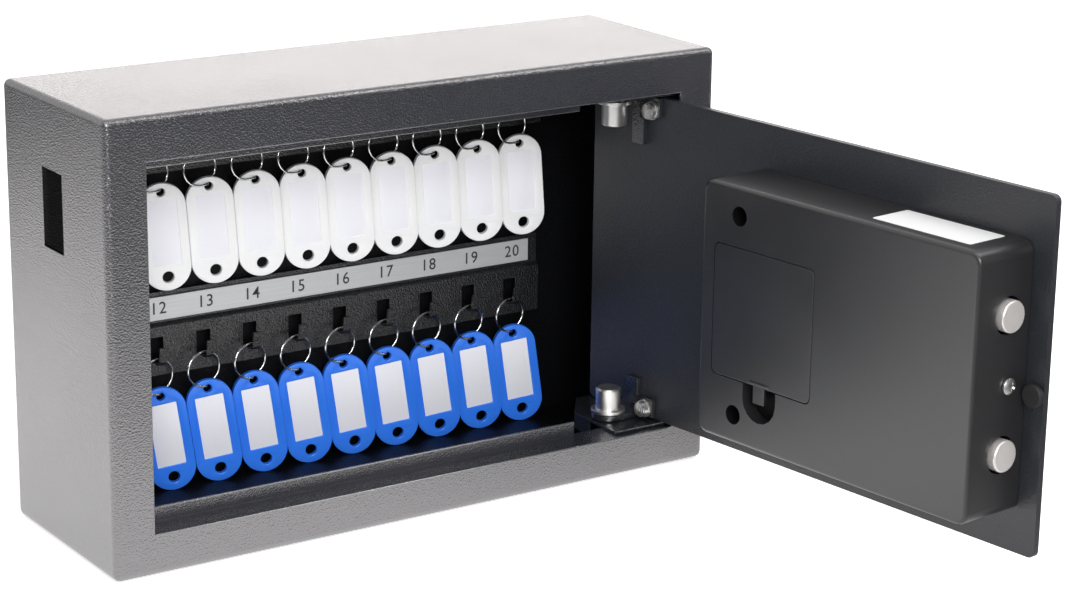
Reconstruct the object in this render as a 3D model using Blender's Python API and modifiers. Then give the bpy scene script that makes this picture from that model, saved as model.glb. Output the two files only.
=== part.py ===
"""Wall key cabinet in sheet steel with an electronic lock, its door standing open.

Metres, +Z up. The origin is the centre of the cabinet's underside. X runs along the front towards the hinges
and Y from front to back. Every piece is drawn with Y counted from the cabinet's front face, and the door's
pieces are drawn as the closed door holds them: one empty carries the front face's place, and a second one on
the hinge pins then swings all that the door carries.
"""
import math

import bmesh
import bpy
from mathutils import Matrix, Vector

# Fits that every piece shares
GAP = 0.0003
OVERRUN = 0.002
WELD = 0.00001

# Cabinet shell
CABINET_WIDTH = 0.310
CABINET_HEIGHT = 0.200
CABINET_DEPTH = 0.100
SHEET = 0.002
BEND_RADIUS = 0.003
FRAME_SIDE = 0.019
FRAME_BOTTOM = 0.0185
FRAME_TOP = 0.0195
SILL_DEPTH = 0.016
LIP_HEIGHT = 0.0064
LIP_THICKNESS = 0.0015
LIP_NOTCH = 0.0465
LATCH_FLANGE = 0.012
SLOT_FRONT = 0.0415
SLOT_WIDTH = 0.0195
SLOT_DROP = 0.031
SLOT_HEIGHT = 0.035
WALL_HOLE_RADIUS = 0.004
WALL_HOLE_SPREAD = 0.172
WALL_HOLE_DROP = 0.076

# Hook rails and their numbered strips
RAIL_LEVEL = 0.056
UPPER_RAIL_DROP = 0.0494
RAIL_END_ROOM = 0.032
RAIL_SHIFT = 0.002
RAIL_SHEET = 0.0012
RAIL_STAND = 0.0049
RAIL_STEP = 0.0022
RAIL_STEP_RISE = 0.0015
HOOK_PANEL_HEIGHT = 0.022
STRIP_PANEL_HEIGHT = 0.0141
STRIP_END_ROOM = 0.0055
STRIP_HEIGHT = 0.0109
STRIP_THICKNESS = 0.0007
HOOK_COUNT = 10
HOOK_END_ROOM = 0.015
HOOK_SHIFT = 0.004
HOOK_WIDTH = 0.0036
HOOK_SHEET = 0.0012
HOOK_LEVEL = 0.0068
HOOK_REACH = 0.0057
HOOK_TURN = 0.0014
HOOK_TIP_REACH = 0.0008
HOOK_TIP_RISE = 0.0082
WINDOW_MARGIN = 0.0017
WINDOW_HEIGHT = 0.0113

# Key tags, each on its ring
TAG_LENGTH = 0.051
TAG_WIDTH = 0.022
TAG_THICKNESS = 0.003
TAG_HOLE_SPACING = 0.0395
TAG_TOP_HOLE = 0.0020
TAG_BOTTOM_HOLE = 0.0027
TAG_WINDOW_WIDTH = 0.013
TAG_WINDOW_HEIGHT = 0.027
CARD_THICKNESS = 0.0014
RING_RADIUS = 0.0082
RING_WIRE = 0.00055
RING_SEAT = 0.001
RING_BEARING = 0.0017
CARD_LAP = 0.0004
RING_SIDE_GAP = 0.0002
TAG_TURN = math.radians(14)
RING_TURN = math.radians(25)
RING_BITE = math.radians(6)
UPPER_TAG_LEAN = math.radians(4)
UPPER_EYE_SHIFT = 0.0016
UPPER_RING_SLEW = math.radians(24)
LOWER_TAG_LEAN = math.radians(8)
LOWER_EYE_SHIFT = -0.0006
LOWER_RING_SLEW = math.radians(14)

# Hinges: a bracket on the frame, a pin and a washer, and an arm on the door
PIN_INSET = 0.040
PIN_DEPTH = 0.023
PIN_SHANK = 0.003
PIN_HEAD = 0.006
PIN_HEAD_HEIGHT = 0.0105
PIN_CHAMFER = 0.0008
PIN_FOOT = 0.0045
PIN_FOOT_THICKNESS = 0.0016
WASHER_RADIUS = 0.00825
WASHER_THICKNESS = 0.0017
BRACKET_THICKNESS = 0.0014
BRACKET_LEFT = 0.009
BRACKET_RIGHT = 0.020
BRACKET_FRONT = 0.019
BRACKET_BACK = 0.033
BRACKET_SIDE = 0.015
BRACKET_CORNER = 0.0045
BRACKET_EAR_LENGTH = 0.012
BRACKET_EAR_DROP = 0.0065
ARM_THICKNESS = 0.0025
ARM_RADIUS = 0.008
ARM_FOOT_REACH = 0.0175
ARM_FOOT_HEIGHT = 0.0103
ARM_HEEL = 0.001
ARM_TAB_LEFT = 0.007
ARM_TAB_RIGHT = 0.001
LOWER_TAB_HEIGHT = 0.0183
UPPER_TAB_HEIGHT = 0.0248
NUT_REACH = 0.013
LOWER_NUT_LEVEL = 0.0053
UPPER_NUT_LEVEL = 0.0073
NUT_RADIUS = 0.0036
NUT_THICKNESS = 0.004
DOOR_OPENING_ANGLE = math.radians(96.5)

# Door leaf
DOOR_WIDTH = 0.2795
DOOR_LATCH_GAP = 0.0015
DOOR_SILL_GAP = 0.0022
DOOR_HEADER_GAP = 0.0035
DOOR_INSET = 0.005
DOOR_THICKNESS = 0.003
DOOR_CORNER = 0.003
CABLE_HOLE = 0.006
BUFFER_RADIUS = 0.0052
BUFFER_HEIGHT = 0.003
BUFFER_INSET = 0.0044
BUFFER_LEVEL = 0.071

# Lock housing on the door's inner side
HOUSING_WIDTH = 0.160
HOUSING_HEIGHT = 0.1172
HOUSING_DEPTH = 0.0327
HOUSING_WALL = 0.0022
HOUSING_CORNER = 0.0055
HOUSING_RIM = 0.002
HOUSING_INSET = 0.010
HOUSING_LEVEL = 0.0186
WELL_RADIUS = 0.0045
WELL_WALL = 0.0018
WELL_FLOOR = 0.0067
WELL_INSET = 0.023
WELL_LEVEL = 0.0131
WELL_HEAD_ROOM = 0.0131
SCREW_HEAD = 0.0037
SCREW_HEAD_HEIGHT = 0.0022
SCREW_DOME_SHARES = ((0, 1), (0.6, 0.9), (1, 0.4), (1, 0))
SCREW_SHANK = 0.0016
SCREW_LENGTH = 0.016
SIDE_SCREW_LENGTH = 0.009
SIDE_SCREW_LEVEL = 0.0572
SIDE_SCREW_DEPTH = 0.0112
SIDE_BOSS_SIZE = 0.009

# Battery bay, its cover and the finger recess under it
COVER_WIDTH = 0.0606
COVER_HEIGHT = 0.060
COVER_THICKNESS = 0.002
COVER_CORNER = 0.003
COVER_GAP = 0.0004
COVER_INSET = 0.0084
COVER_LEVEL = 0.0297
COVER_LEDGE = 0.0012
BAY_WALL = 0.0014
BAY_DEPTH = 0.0147
RECESS_RADIUS = 0.01015
RECESS_DROP = 0.0167
RECESS_DEPTH = 0.007
TONGUE_WIDTH = 0.007
TONGUE_LENGTH = 0.0085
TONGUE_THICKNESS = 0.0016
TONGUE_SHIFT = 0.0015
COVER_LIP_WIDTH = 0.012
COVER_LIP_HEIGHT = 0.0012
COVER_LIP_PROUD = 0.0006
COVER_LIP_LEVEL = 0.0008
BATTERY_RADIUS = 0.007
BATTERY_LENGTH = 0.0492
BATTERY_SPACING = 0.0138
BATTERY_COUNT = 4
BATTERY_CAP = 0.0027
BATTERY_CAP_HEIGHT = 0.0011
BATTERY_LIFT = 0.00035

# Bolt works inside the housing
BOLT_RADIUS = 0.007
BOLT_CLEARANCE = 0.00125
BOLT_PROUD = 0.003
BOLT_LENGTH = 0.0345
BOLT_CHAMFER = 0.0006
BOLT_TAIL = 0.003
BOLT_TAIL_LENGTH = 0.0042
BOLT_SPACING = 0.060
BOLT_LEVEL = 0.0277
BOLT_DEPTH = 0.0132
BOLT_THROW = 0.016
CARRIAGE_SHEET = 0.002
CARRIAGE_WIDTH = 0.0367
CARRIAGE_MARGIN = 0.009
CARRIAGE_EAR_DEPTH = 0.0175
CRANK_RADIUS = 0.0142
CRANK_THICKNESS = 0.0024
CRANK_PIN = 0.002
CRANK_PIN_LENGTH = 0.0045
CRANK_PLAY = 0.00065
SOLENOID_COIL = 0.0065
SOLENOID_LENGTH = 0.0185
SOLENOID_SHEET = 0.0012
SOLENOID_WIDTH = 0.014
SOLENOID_REACH = 0.0075
SOLENOID_SIDE_ROOM = 0.0014
SOLENOID_LEVEL = 0.0687
PLUNGER_RADIUS = 0.002

# Keypad panel on the door's outer side, and what it carries
PANEL_WIDTH = 0.140
PANEL_HEIGHT = 0.106
PANEL_DEPTH = 0.0112
PANEL_WALL = 0.002
PANEL_CORNER = 0.008
PANEL_RIM = 0.0015
PANEL_INSET = 0.0235
PANEL_LEVEL = 0.0243
PANEL_BOSS = 0.0038
KEY_SIZE = 0.011
KEY_PITCH = 0.016
KEY_FLANGE = 0.001
KEY_FLANGE_THICKNESS = 0.001
KEY_PROUD = 0.0012
KEY_EDGE = 0.0008
KEYPAD_INSET = 0.037
LIGHT_RADIUS = 0.0015
LIGHT_PROUD = 0.0004
LIGHT_BAR = 0.0015
LIGHT_RISE = 0.017
KNOB_RADIUS = 0.017
KNOB_SHAFT = 0.004
KNOB_BASE_HEIGHT = 0.0062
KNOB_CHAMFER = 0.002
KNOB_GRIP_LENGTH = 0.030
KNOB_GRIP_WIDTH = 0.009
KNOB_GRIP_HEIGHT = 0.0115
KNOB_GRIP_ROUND_SHARE = 0.9
KNOB_INSET = 0.0625
KNOB_LEVEL = 0.0633
CYLINDER_RADIUS = 0.008
CYLINDER_RISE = 0.042
CYLINDER_TAIL = 0.0028
FLAP_RADIUS = 0.0105
FLAP_EYE = 0.004
FLAP_RISE = 0.0145
FLAP_THICKNESS = 0.002
FLAP_PIVOT = 0.0016

# How finely round shapes are drawn
BEND_STEPS = 3
CORNER_STEPS = 4
FINE_SIDES = 24
ROUND_SIDES = 16
SMALL_SIDES = 12
TINY_SIDES = 8
TAG_END_STEPS = 6
ARM_FLARE_STEPS = 4
RING_STEPS = 6

# Finishes: base colour, roughness and metallic value
POWDER_COAT = ((0.045, 0.050, 0.060), 0.45, 0.0)
DARK_COAT = ((0.025, 0.028, 0.034), 0.45, 0.0)
BLACK_PLASTIC = ((0.018, 0.018, 0.020), 0.5, 0.0)
BLACK_RUBBER = ((0.012, 0.012, 0.012), 0.8, 0.0)
ZINC = ((0.62, 0.62, 0.60), 0.3, 1.0)
NICKEL = ((0.66, 0.62, 0.56), 0.3, 1.0)
SILVER_FOIL = ((0.70, 0.71, 0.73), 0.35, 0.6)
WHITE_PLASTIC = ((0.82, 0.82, 0.82), 0.4, 0.0)
BLUE_PLASTIC = ((0.03, 0.16, 0.75), 0.4, 0.0)
LIGHT_PLASTIC = ((0.30, 0.05, 0.04), 0.2, 0.0)
BATTERY_FOIL = ((0.05, 0.05, 0.06), 0.35, 0.5)

# Levels and places that follow from the sizes above
SIDE_X = CABINET_WIDTH / 2
OPENING_X = SIDE_X - FRAME_SIDE
SILL_Z = FRAME_BOTTOM
HEADER_Z = CABINET_HEIGHT - FRAME_TOP
BACK_Y = CABINET_DEPTH - SHEET
SLOT_BOTTOM = CABINET_HEIGHT - SLOT_DROP - SLOT_HEIGHT
WALL_HOLE_LEVEL = CABINET_HEIGHT - WALL_HOLE_DROP
PIN_X = SIDE_X - PIN_INSET
PIN_Y = PIN_DEPTH
DOOR_LEFT = DOOR_LATCH_GAP - OPENING_X
DOOR_RIGHT = DOOR_LEFT + DOOR_WIDTH
DOOR_LOW = SILL_Z + DOOR_SILL_GAP
DOOR_HIGH = HEADER_Z - DOOR_HEADER_GAP
DOOR_FACE = DOOR_INSET
DOOR_BACK = DOOR_INSET + DOOR_THICKNESS
HOUSING_LEFT = DOOR_LEFT + HOUSING_INSET
HOUSING_RIGHT = HOUSING_LEFT + HOUSING_WIDTH
HOUSING_LOW = DOOR_LOW + HOUSING_LEVEL
HOUSING_HIGH = HOUSING_LOW + HOUSING_HEIGHT
HOUSING_BASE = DOOR_BACK + GAP
HOUSING_FACE = HOUSING_BASE + HOUSING_DEPTH
HOUSING_INNER = HOUSING_FACE - HOUSING_WALL
COVER_RIGHT = HOUSING_RIGHT - COVER_INSET
COVER_LEFT = COVER_RIGHT - COVER_WIDTH
COVER_LOW = HOUSING_LOW + COVER_LEVEL
COVER_HIGH = COVER_LOW + COVER_HEIGHT
COVER_BACK = HOUSING_FACE - COVER_THICKNESS
BAY_FLOOR = COVER_BACK - GAP - BAY_DEPTH
WELL_X = HOUSING_RIGHT - WELL_INSET
WELL_LEVELS = (HOUSING_LOW + WELL_LEVEL, HOUSING_HIGH - WELL_HEAD_ROOM)
PANEL_LEFT = DOOR_LEFT + PANEL_INSET
PANEL_LOW = DOOR_LOW + PANEL_LEVEL
PANEL_BACK = DOOR_FACE - GAP
PANEL_FACE = PANEL_BACK - PANEL_DEPTH
KEYPAD_X = PANEL_LEFT + PANEL_WIDTH - KEYPAD_INSET
KEYPAD_Z = PANEL_LOW + PANEL_HEIGHT / 2
LIGHT_Z = KEYPAD_Z + KEY_PITCH * 3 / 2 + LIGHT_RISE
KNOB_X = DOOR_LEFT + KNOB_INSET
KNOB_Z = DOOR_LOW + KNOB_LEVEL
CYLINDER_Z = KNOB_Z + CYLINDER_RISE
FLAP_Z = CYLINDER_Z + FLAP_RISE
BOLT_Y = DOOR_BACK + GAP + BOLT_DEPTH
BOLT_LEVELS = (HOUSING_LOW + BOLT_LEVEL, HOUSING_LOW + BOLT_LEVEL + BOLT_SPACING)
BOLT_TIP = HOUSING_LEFT - BOLT_PROUD
CARRIAGE_LEFT = BOLT_TIP + BOLT_LENGTH + GAP
CRANK_Y = DOOR_BACK + GAP * 2
CARRIAGE_Y = CRANK_Y + CRANK_THICKNESS + GAP * 2
CRANK_ARM = BOLT_THROW / math.sqrt(2)
CRANK_PIN_X = KNOB_X + BOLT_THROW / 2
CRANK_PIN_Z = KNOB_Z - BOLT_THROW / 2
SOLENOID_Z = HOUSING_LOW + SOLENOID_LEVEL
SOLENOID_X = CARRIAGE_LEFT + CARRIAGE_SHEET + SOLENOID_REACH + SOLENOID_SIDE_ROOM + SOLENOID_SHEET * 2
ROW_PITCH = CABINET_HEIGHT - UPPER_RAIL_DROP - RAIL_LEVEL
RAIL_LENGTH = CABINET_WIDTH - RAIL_END_ROOM * 2
STRIP_LENGTH = RAIL_LENGTH - STRIP_END_ROOM * 2
HOOK_PITCH = (RAIL_LENGTH - HOOK_END_ROOM * 2) / (HOOK_COUNT - 1)
HOOK_Z = RAIL_LEVEL + HOOK_LEVEL
HOOK_PANEL_Y = BACK_Y - GAP - RAIL_STAND
STRIP_PANEL_Y = HOOK_PANEL_Y + RAIL_STEP
HOOK_VALLEY_Y = HOOK_PANEL_Y + RAIL_SHEET - HOOK_REACH
PIVOT_Z = HOOK_Z + HOOK_SHEET / 2 + RING_SEAT + RING_WIRE
PIVOT_Y = HOOK_VALLEY_Y + HOOK_TURN / 2


for old in list(bpy.data.objects):
    bpy.data.objects.remove(old, do_unlink=True)
parts = bpy.data.collections.new("key_cabinet")
cutters = bpy.data.collections.new("cutters")
bpy.context.scene.collection.children.link(parts)
bpy.context.scene.collection.children.link(cutters)

front_face = bpy.data.objects.new("front_face", None)
front_face.location = (0, -CABINET_DEPTH / 2, 0)
parts.objects.link(front_face)
door_axis = bpy.data.objects.new("door_axis", None)
door_axis.location = (PIN_X, PIN_Y, 0)
door_axis.rotation_euler = (0, 0, DOOR_OPENING_ANGLE)
door_axis.parent = front_face
parts.objects.link(door_axis)


def circle(x, y, radius, sides):
    """Points of a circle in a flat outline."""
    turns = [2 * math.pi * step / sides for step in range(sides)]
    return [(x + radius * math.cos(turn), y + radius * math.sin(turn)) for turn in turns]


def arc(x, y, radius, start, end, steps):
    """Points of an arc from one angle to another, both ends included."""
    turns = [start + (end - start) * step / steps for step in range(steps + 1)]
    return [(x + radius * math.cos(turn), y + radius * math.sin(turn)) for turn in turns]


def rectangle(left, low, right, high):
    """Corners of a rectangle in a flat outline."""
    return [(left, low), (right, low), (right, high), (left, high)]


def rounded(left, low, right, high, radius, steps=CORNER_STEPS):
    """A rectangle whose corners are arcs."""
    points = arc(right - radius, high - radius, radius, 0, math.pi / 2, steps)
    points += arc(left + radius, high - radius, radius, math.pi / 2, math.pi, steps)
    points += arc(left + radius, low + radius, radius, math.pi, math.pi * 3 / 2, steps)
    points += arc(right - radius, low + radius, radius, math.pi * 3 / 2, math.pi * 2, steps)
    return points


def ribbon(path, thickness):
    """The outline of a bent strip: its centre line, offset to both sides with mitred bends."""
    points = [Vector(point) for point in path]
    left, right = [], []
    for index, point in enumerate(points):
        before = points[max(index - 1, 0)]
        after = points[min(index + 1, len(points) - 1)]
        runs = [run.normalized() for run in (point - before, after - point) if run.length]
        sides = [Vector((-run.y, run.x)) for run in runs]
        normal = sum(sides, Vector((0, 0))).normalized()
        offset = normal * (thickness / 2 / normal.dot(sides[0]))
        left.append(tuple(point + offset))
        right.append(tuple(point - offset))
    return left + right[::-1]


def closed(mesh):
    """Weld a mesh's loose seams and turn all its faces outwards."""
    shape = bmesh.new()
    shape.from_mesh(mesh)
    bmesh.ops.remove_doubles(shape, verts=shape.verts, dist=WELD)
    bmesh.ops.recalc_face_normals(shape, faces=shape.faces)
    shape.to_mesh(mesh)
    shape.free()
    return mesh


def baked(helper):
    """Keep a helper object's evaluated shape as a mesh and remove the helper."""
    bpy.context.scene.collection.objects.link(helper)
    evaluated = helper.evaluated_get(bpy.context.evaluated_depsgraph_get())
    mesh = bpy.data.meshes.new_from_object(evaluated)
    bpy.data.objects.remove(helper)
    return closed(mesh)


AXIS_FRAMES = {
    "X": Matrix(((0, 0, 1, 0), (1, 0, 0, 0), (0, 1, 0, 0), (0, 0, 0, 1))),
    "Y": Matrix(((1, 0, 0, 0), (0, 0, -1, 0), (0, 1, 0, 0), (0, 0, 0, 1))),
    "Z": Matrix.Identity(4),
}
AXIS_STEPS = {"X": Vector((1, 0, 0)), "Y": Vector((0, 1, 0)), "Z": Vector((0, 0, 1))}


def slab(outlines, start, end, axis):
    """A flat outline, with any holes after the first, given its thickness between two levels of an axis.

    The outline's points are (y, z) for X, (x, z) for Y and (x, y) for Z.
    """
    curve = bpy.data.curves.new("outline", "CURVE")
    curve.dimensions = "2D"
    curve.fill_mode = "BOTH"
    curve.extrude = abs(end - start) / 2
    for outline in outlines:
        spline = curve.splines.new("POLY")
        spline.points.add(len(outline) - 1)
        for point, (across, up) in zip(spline.points, outline):
            point.co = (across, up, 0, 1)
        spline.use_cyclic_u = True
    mesh = baked(bpy.data.objects.new("outline", curve))
    mesh.transform(Matrix.Translation(AXIS_STEPS[axis] * ((start + end) / 2)) @ AXIS_FRAMES[axis])
    return mesh


def box(low, high):
    """A box between two corners."""
    low, high = Vector(low), Vector(high)
    shape = bmesh.new()
    bmesh.ops.create_cube(shape, size=1)
    bmesh.ops.scale(shape, verts=shape.verts, vec=high - low)
    bmesh.ops.translate(shape, verts=shape.verts, vec=(low + high) / 2)
    mesh = bpy.data.meshes.new("box")
    shape.to_mesh(mesh)
    shape.free()
    return mesh


def rod(centre, radius, start, end, axis, sides):
    """A cylinder along an axis. Its centre has the two coordinates that slab gives that axis."""
    shape = bmesh.new()
    bmesh.ops.create_cone(shape, cap_ends=True, segments=sides, radius1=radius, radius2=radius,
                          depth=abs(end - start))
    mesh = bpy.data.meshes.new("rod")
    shape.to_mesh(mesh)
    shape.free()
    middle = Matrix.Translation(AXIS_STEPS[axis] * ((start + end) / 2))
    mesh.transform(middle @ AXIS_FRAMES[axis] @ Matrix.Translation((*centre, 0)))
    return closed(mesh)


def turned(profile, centre, axis, sides):
    """A profile of (radius, place along the axis) points, revolved about that axis."""
    mesh = bpy.data.meshes.new("profile")
    edges = [(step, step + 1) for step in range(len(profile) - 1)]
    mesh.from_pydata([(radius, 0, along) for radius, along in profile], edges, [])
    helper = bpy.data.objects.new("profile", mesh)
    screw = helper.modifiers.new("revolve", "SCREW")
    screw.steps = sides
    screw.render_steps = sides
    screw.use_merge_vertices = True
    screw.merge_threshold = WELD
    shape = baked(helper)
    facing = Matrix.Diagonal((1, 1, -1, 1)) if axis == "Y" else Matrix.Identity(4)
    shape.transform(AXIS_FRAMES[axis] @ Matrix.Translation((*centre, 0)) @ facing)
    return closed(shape)


def fused(meshes):
    """Overlapping solids welded into one mesh."""
    first = bpy.data.objects.new("fused", meshes[0])
    tools = []
    for mesh in meshes[1:]:
        tool = bpy.data.objects.new("weld", mesh)
        cutters.objects.link(tool)
        tools.append(tool)
        step = first.modifiers.new("weld", "BOOLEAN")
        step.operation = "UNION"
        step.solver = "EXACT"
        step.object = tool
    mesh = baked(first)
    for tool in tools:
        bpy.data.objects.remove(tool)
    return mesh


def together(meshes):
    """Several closed solids kept side by side in one mesh."""
    shape = bmesh.new()
    for mesh in meshes:
        shape.from_mesh(mesh)
    joined = bpy.data.meshes.new("group")
    shape.to_mesh(joined)
    shape.free()
    return joined


def soften_rim(mesh, level, radius, steps=BEND_STEPS):
    """Round the edges of the face that lies at one level of Y."""
    shape = bmesh.new()
    shape.from_mesh(mesh)
    bmesh.ops.dissolve_limit(shape, angle_limit=math.radians(1), verts=shape.verts, edges=shape.edges)
    rim = [edge for edge in shape.edges
           if all(abs(corner.co.y - level) < WELD for corner in edge.verts)]
    bmesh.ops.bevel(shape, geom=rim, offset=radius, segments=steps, profile=0.5, affect="EDGES")
    shape.to_mesh(mesh)
    shape.free()
    return mesh


def place(name, mesh, collection, carrier, origin):
    """Make an object of a mesh drawn about the front face, with its origin where it is asked for."""
    thing = bpy.data.objects.new(name, mesh)
    collection.objects.link(thing)
    thing.location = origin
    thing.parent = carrier
    if carrier == door_axis:
        thing.matrix_parent_inverse = Matrix.Translation((-PIN_X, -PIN_Y, 0))
    return thing


def piece(name, mesh, finish, carrier=front_face, origin=(0, 0, 0)):
    """One sub-part with its own material. A moving piece has its origin on its joint's axis."""
    if any(origin):
        mesh.transform(Matrix.Translation(-Vector(origin)))
    return dressed(place(name, mesh, parts, carrier, origin), finish)


def dressed(thing, finish):
    """Give a piece its own Principled material and smooth shading across its shallow edges."""
    colour, roughness, metallic = finish
    material = bpy.data.materials.new(thing.name)
    material.use_nodes = True
    shader = material.node_tree.nodes["Principled BSDF"]
    shader.inputs["Base Color"].default_value = (*colour, 1)
    shader.inputs["Roughness"].default_value = roughness
    shader.inputs["Metallic"].default_value = metallic
    thing.data.materials.clear()
    thing.data.materials.append(material)
    thing.data.shade_smooth()
    thing.data.set_sharp_from_angle(angle=math.radians(35))
    return thing


def work(thing, name, mesh, operation="DIFFERENCE"):
    """Cut a piece by a tool drawn in the same place, or weld the tool's solid to it."""
    if any(thing.location):
        mesh.transform(Matrix.Translation(-thing.location))
    tool = place(name, mesh, cutters, thing.parent, thing.location.copy())
    tool.display_type = "WIRE"
    tool.hide_render = True
    step = thing.modifiers.new(name, "BOOLEAN")
    step.operation = operation
    step.solver = "EXACT"
    step.object = tool
    return thing


def make_cabinet_body():
    """The folded shell: a box open at the front, its frame returned inwards as sill, header and latch jamb."""
    body = piece("cabinet_body", box((-SIDE_X, 0, 0), (SIDE_X, CABINET_DEPTH, CABINET_HEIGHT)), POWDER_COAT)
    bends = body.modifiers.new("bends", "BEVEL")
    bends.width = BEND_RADIUS
    bends.segments = BEND_STEPS
    hollow = box((SHEET - SIDE_X, SHEET, SHEET), (SIDE_X - SHEET, BACK_Y, CABINET_HEIGHT - SHEET))
    work(body, "cabinet_hollow", hollow)
    front = box((-OPENING_X, -OVERRUN, SILL_Z), (OPENING_X, SHEET + OVERRUN, HEADER_Z))
    work(body, "cabinet_opening", front)
    slot = box((-SIDE_X - OVERRUN, SLOT_FRONT, SLOT_BOTTOM),
               (SHEET - SIDE_X + OVERRUN, SLOT_FRONT + SLOT_WIDTH, SLOT_BOTTOM + SLOT_HEIGHT))
    work(body, "side_slot", slot)
    holes = [rod((side * WALL_HOLE_SPREAD / 2, WALL_HOLE_LEVEL), WALL_HOLE_RADIUS,
                 BACK_Y - OVERRUN, CABINET_DEPTH + OVERRUN, "Y", ROUND_SIDES) for side in (-1, 1)]
    work(body, "wall_holes", together(holes))
    jamb = box((-OPENING_X - SHEET, SHEET / 2, SILL_Z), (-OPENING_X, LATCH_FLANGE, HEADER_Z))
    work(body, "latch_jamb", jamb, "UNION")
    for name, edge, inwards in (("sill", SILL_Z, 1), ("header", HEADER_Z, -1)):
        outer, inner = sorted((edge - inwards * SHEET, edge))
        work(body, name, box((-OPENING_X - SHEET, SHEET / 2, outer), (OPENING_X, SILL_DEPTH, inner)), "UNION")
        low, high = sorted((edge - inwards * SHEET / 2, edge + inwards * LIP_HEIGHT))
        lip = box((-OPENING_X, SILL_DEPTH - LIP_THICKNESS, low), (OPENING_X - LIP_NOTCH, SILL_DEPTH, high))
        work(body, name + "_lip", lip, "UNION")


def hook_places():
    """X of each hook along a rail, from the latch side to the hinge side."""
    first = -HOOK_SHIFT - HOOK_PITCH * (HOOK_COUNT - 1) / 2
    return [first + HOOK_PITCH * index for index in range(HOOK_COUNT)]


def make_rail(row, lift):
    """A stepped channel on the back wall, with hooks lanced out of its lower face."""
    low = RAIL_LEVEL + lift + RAIL_SHEET / 2
    step = low + HOOK_PANEL_HEIGHT
    high = step + RAIL_STEP_RISE + STRIP_PANEL_HEIGHT
    hook_panel = HOOK_PANEL_Y + RAIL_SHEET / 2
    strip_panel = STRIP_PANEL_Y + RAIL_SHEET / 2
    path = [(BACK_Y - GAP, low), (hook_panel, low), (hook_panel, step),
            (strip_panel, step + RAIL_STEP_RISE), (strip_panel, high), (BACK_Y - GAP, high)]
    left = -RAIL_SHIFT - RAIL_LENGTH / 2
    channel = slab([ribbon(path, RAIL_SHEET)], left, left + RAIL_LENGTH, "X")
    rail = piece("hook_rail_" + row, channel, DARK_COAT)
    level = HOOK_Z + lift
    half_window = HOOK_WIDTH / 2 + WINDOW_MARGIN
    windows, hooks = [], []
    bend = [(hook_panel, level), (HOOK_VALLEY_Y, level), (HOOK_VALLEY_Y - HOOK_TURN, level + HOOK_TURN),
            (HOOK_VALLEY_Y - HOOK_TURN - HOOK_TIP_REACH, level + HOOK_TIP_RISE)]
    for x in hook_places():
        windows.append(box((x - half_window, HOOK_PANEL_Y - OVERRUN, level + HOOK_SHEET / 2),
                           (x + half_window, HOOK_PANEL_Y + RAIL_SHEET + OVERRUN / 2, level + WINDOW_HEIGHT)))
        hooks.append(slab([ribbon(bend, HOOK_SHEET)], x - HOOK_WIDTH / 2, x + HOOK_WIDTH / 2, "X"))
    work(rail, "hook_windows_" + row, together(windows))
    work(rail, "hooks_" + row, together(hooks), "UNION")
    middle = (step + RAIL_STEP_RISE + high) / 2
    strip = box((-RAIL_SHIFT - STRIP_LENGTH / 2, STRIP_PANEL_Y - GAP - STRIP_THICKNESS, middle - STRIP_HEIGHT / 2),
                (-RAIL_SHIFT + STRIP_LENGTH / 2, STRIP_PANEL_Y - GAP, middle + STRIP_HEIGHT / 2))
    piece("number_strip_" + row, strip, SILVER_FOIL)


def ring_place(turn, swing, slew):
    """A point of a key ring, by its angle from straight below the ring's centre, towards the latch side.

    The point that hangs in the hook is the origin. The ring's chord to the tag leans by the swing, and the
    ring's centre lies beside that chord by the slew.
    """
    centre = Vector((-math.sin(swing + slew), -math.cos(swing + slew))) * RING_RADIUS
    return centre + Vector((-math.sin(turn), -math.cos(turn))) * RING_RADIUS


def ring_wire(swing, slew):
    """The path of the wire, which runs past both faces of the tag and crosses straight through its hole."""
    bottom = ring_place(swing - slew, swing, slew)
    chord = -bottom.normalized()
    tag_top = bottom.y - RING_BEARING + (TAG_LENGTH - TAG_HOLE_SPACING) / 2
    pass_by = TAG_THICKNESS / 2 + RING_WIRE + RING_SIDE_GAP
    halves = []
    for side, reach in ((1, math.pi + slew * 2), (-1, math.pi - slew * 2)):
        half = []
        for step in range(RING_STEPS):
            turn = swing - slew + side * (RING_BITE + (reach - RING_BITE) * step / RING_STEPS)
            point = ring_place(turn, swing, slew)
            away = abs((point - bottom).cross(chord)) * math.tan(RING_TURN)
            if point.y < tag_top + RING_WIRE:
                away = max(away, pass_by)
            half.append((point.x, -side * away, point.y))
        halves.append(half)
    return [(0, 0, 0)] + halves[0][::-1] + halves[1]


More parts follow.
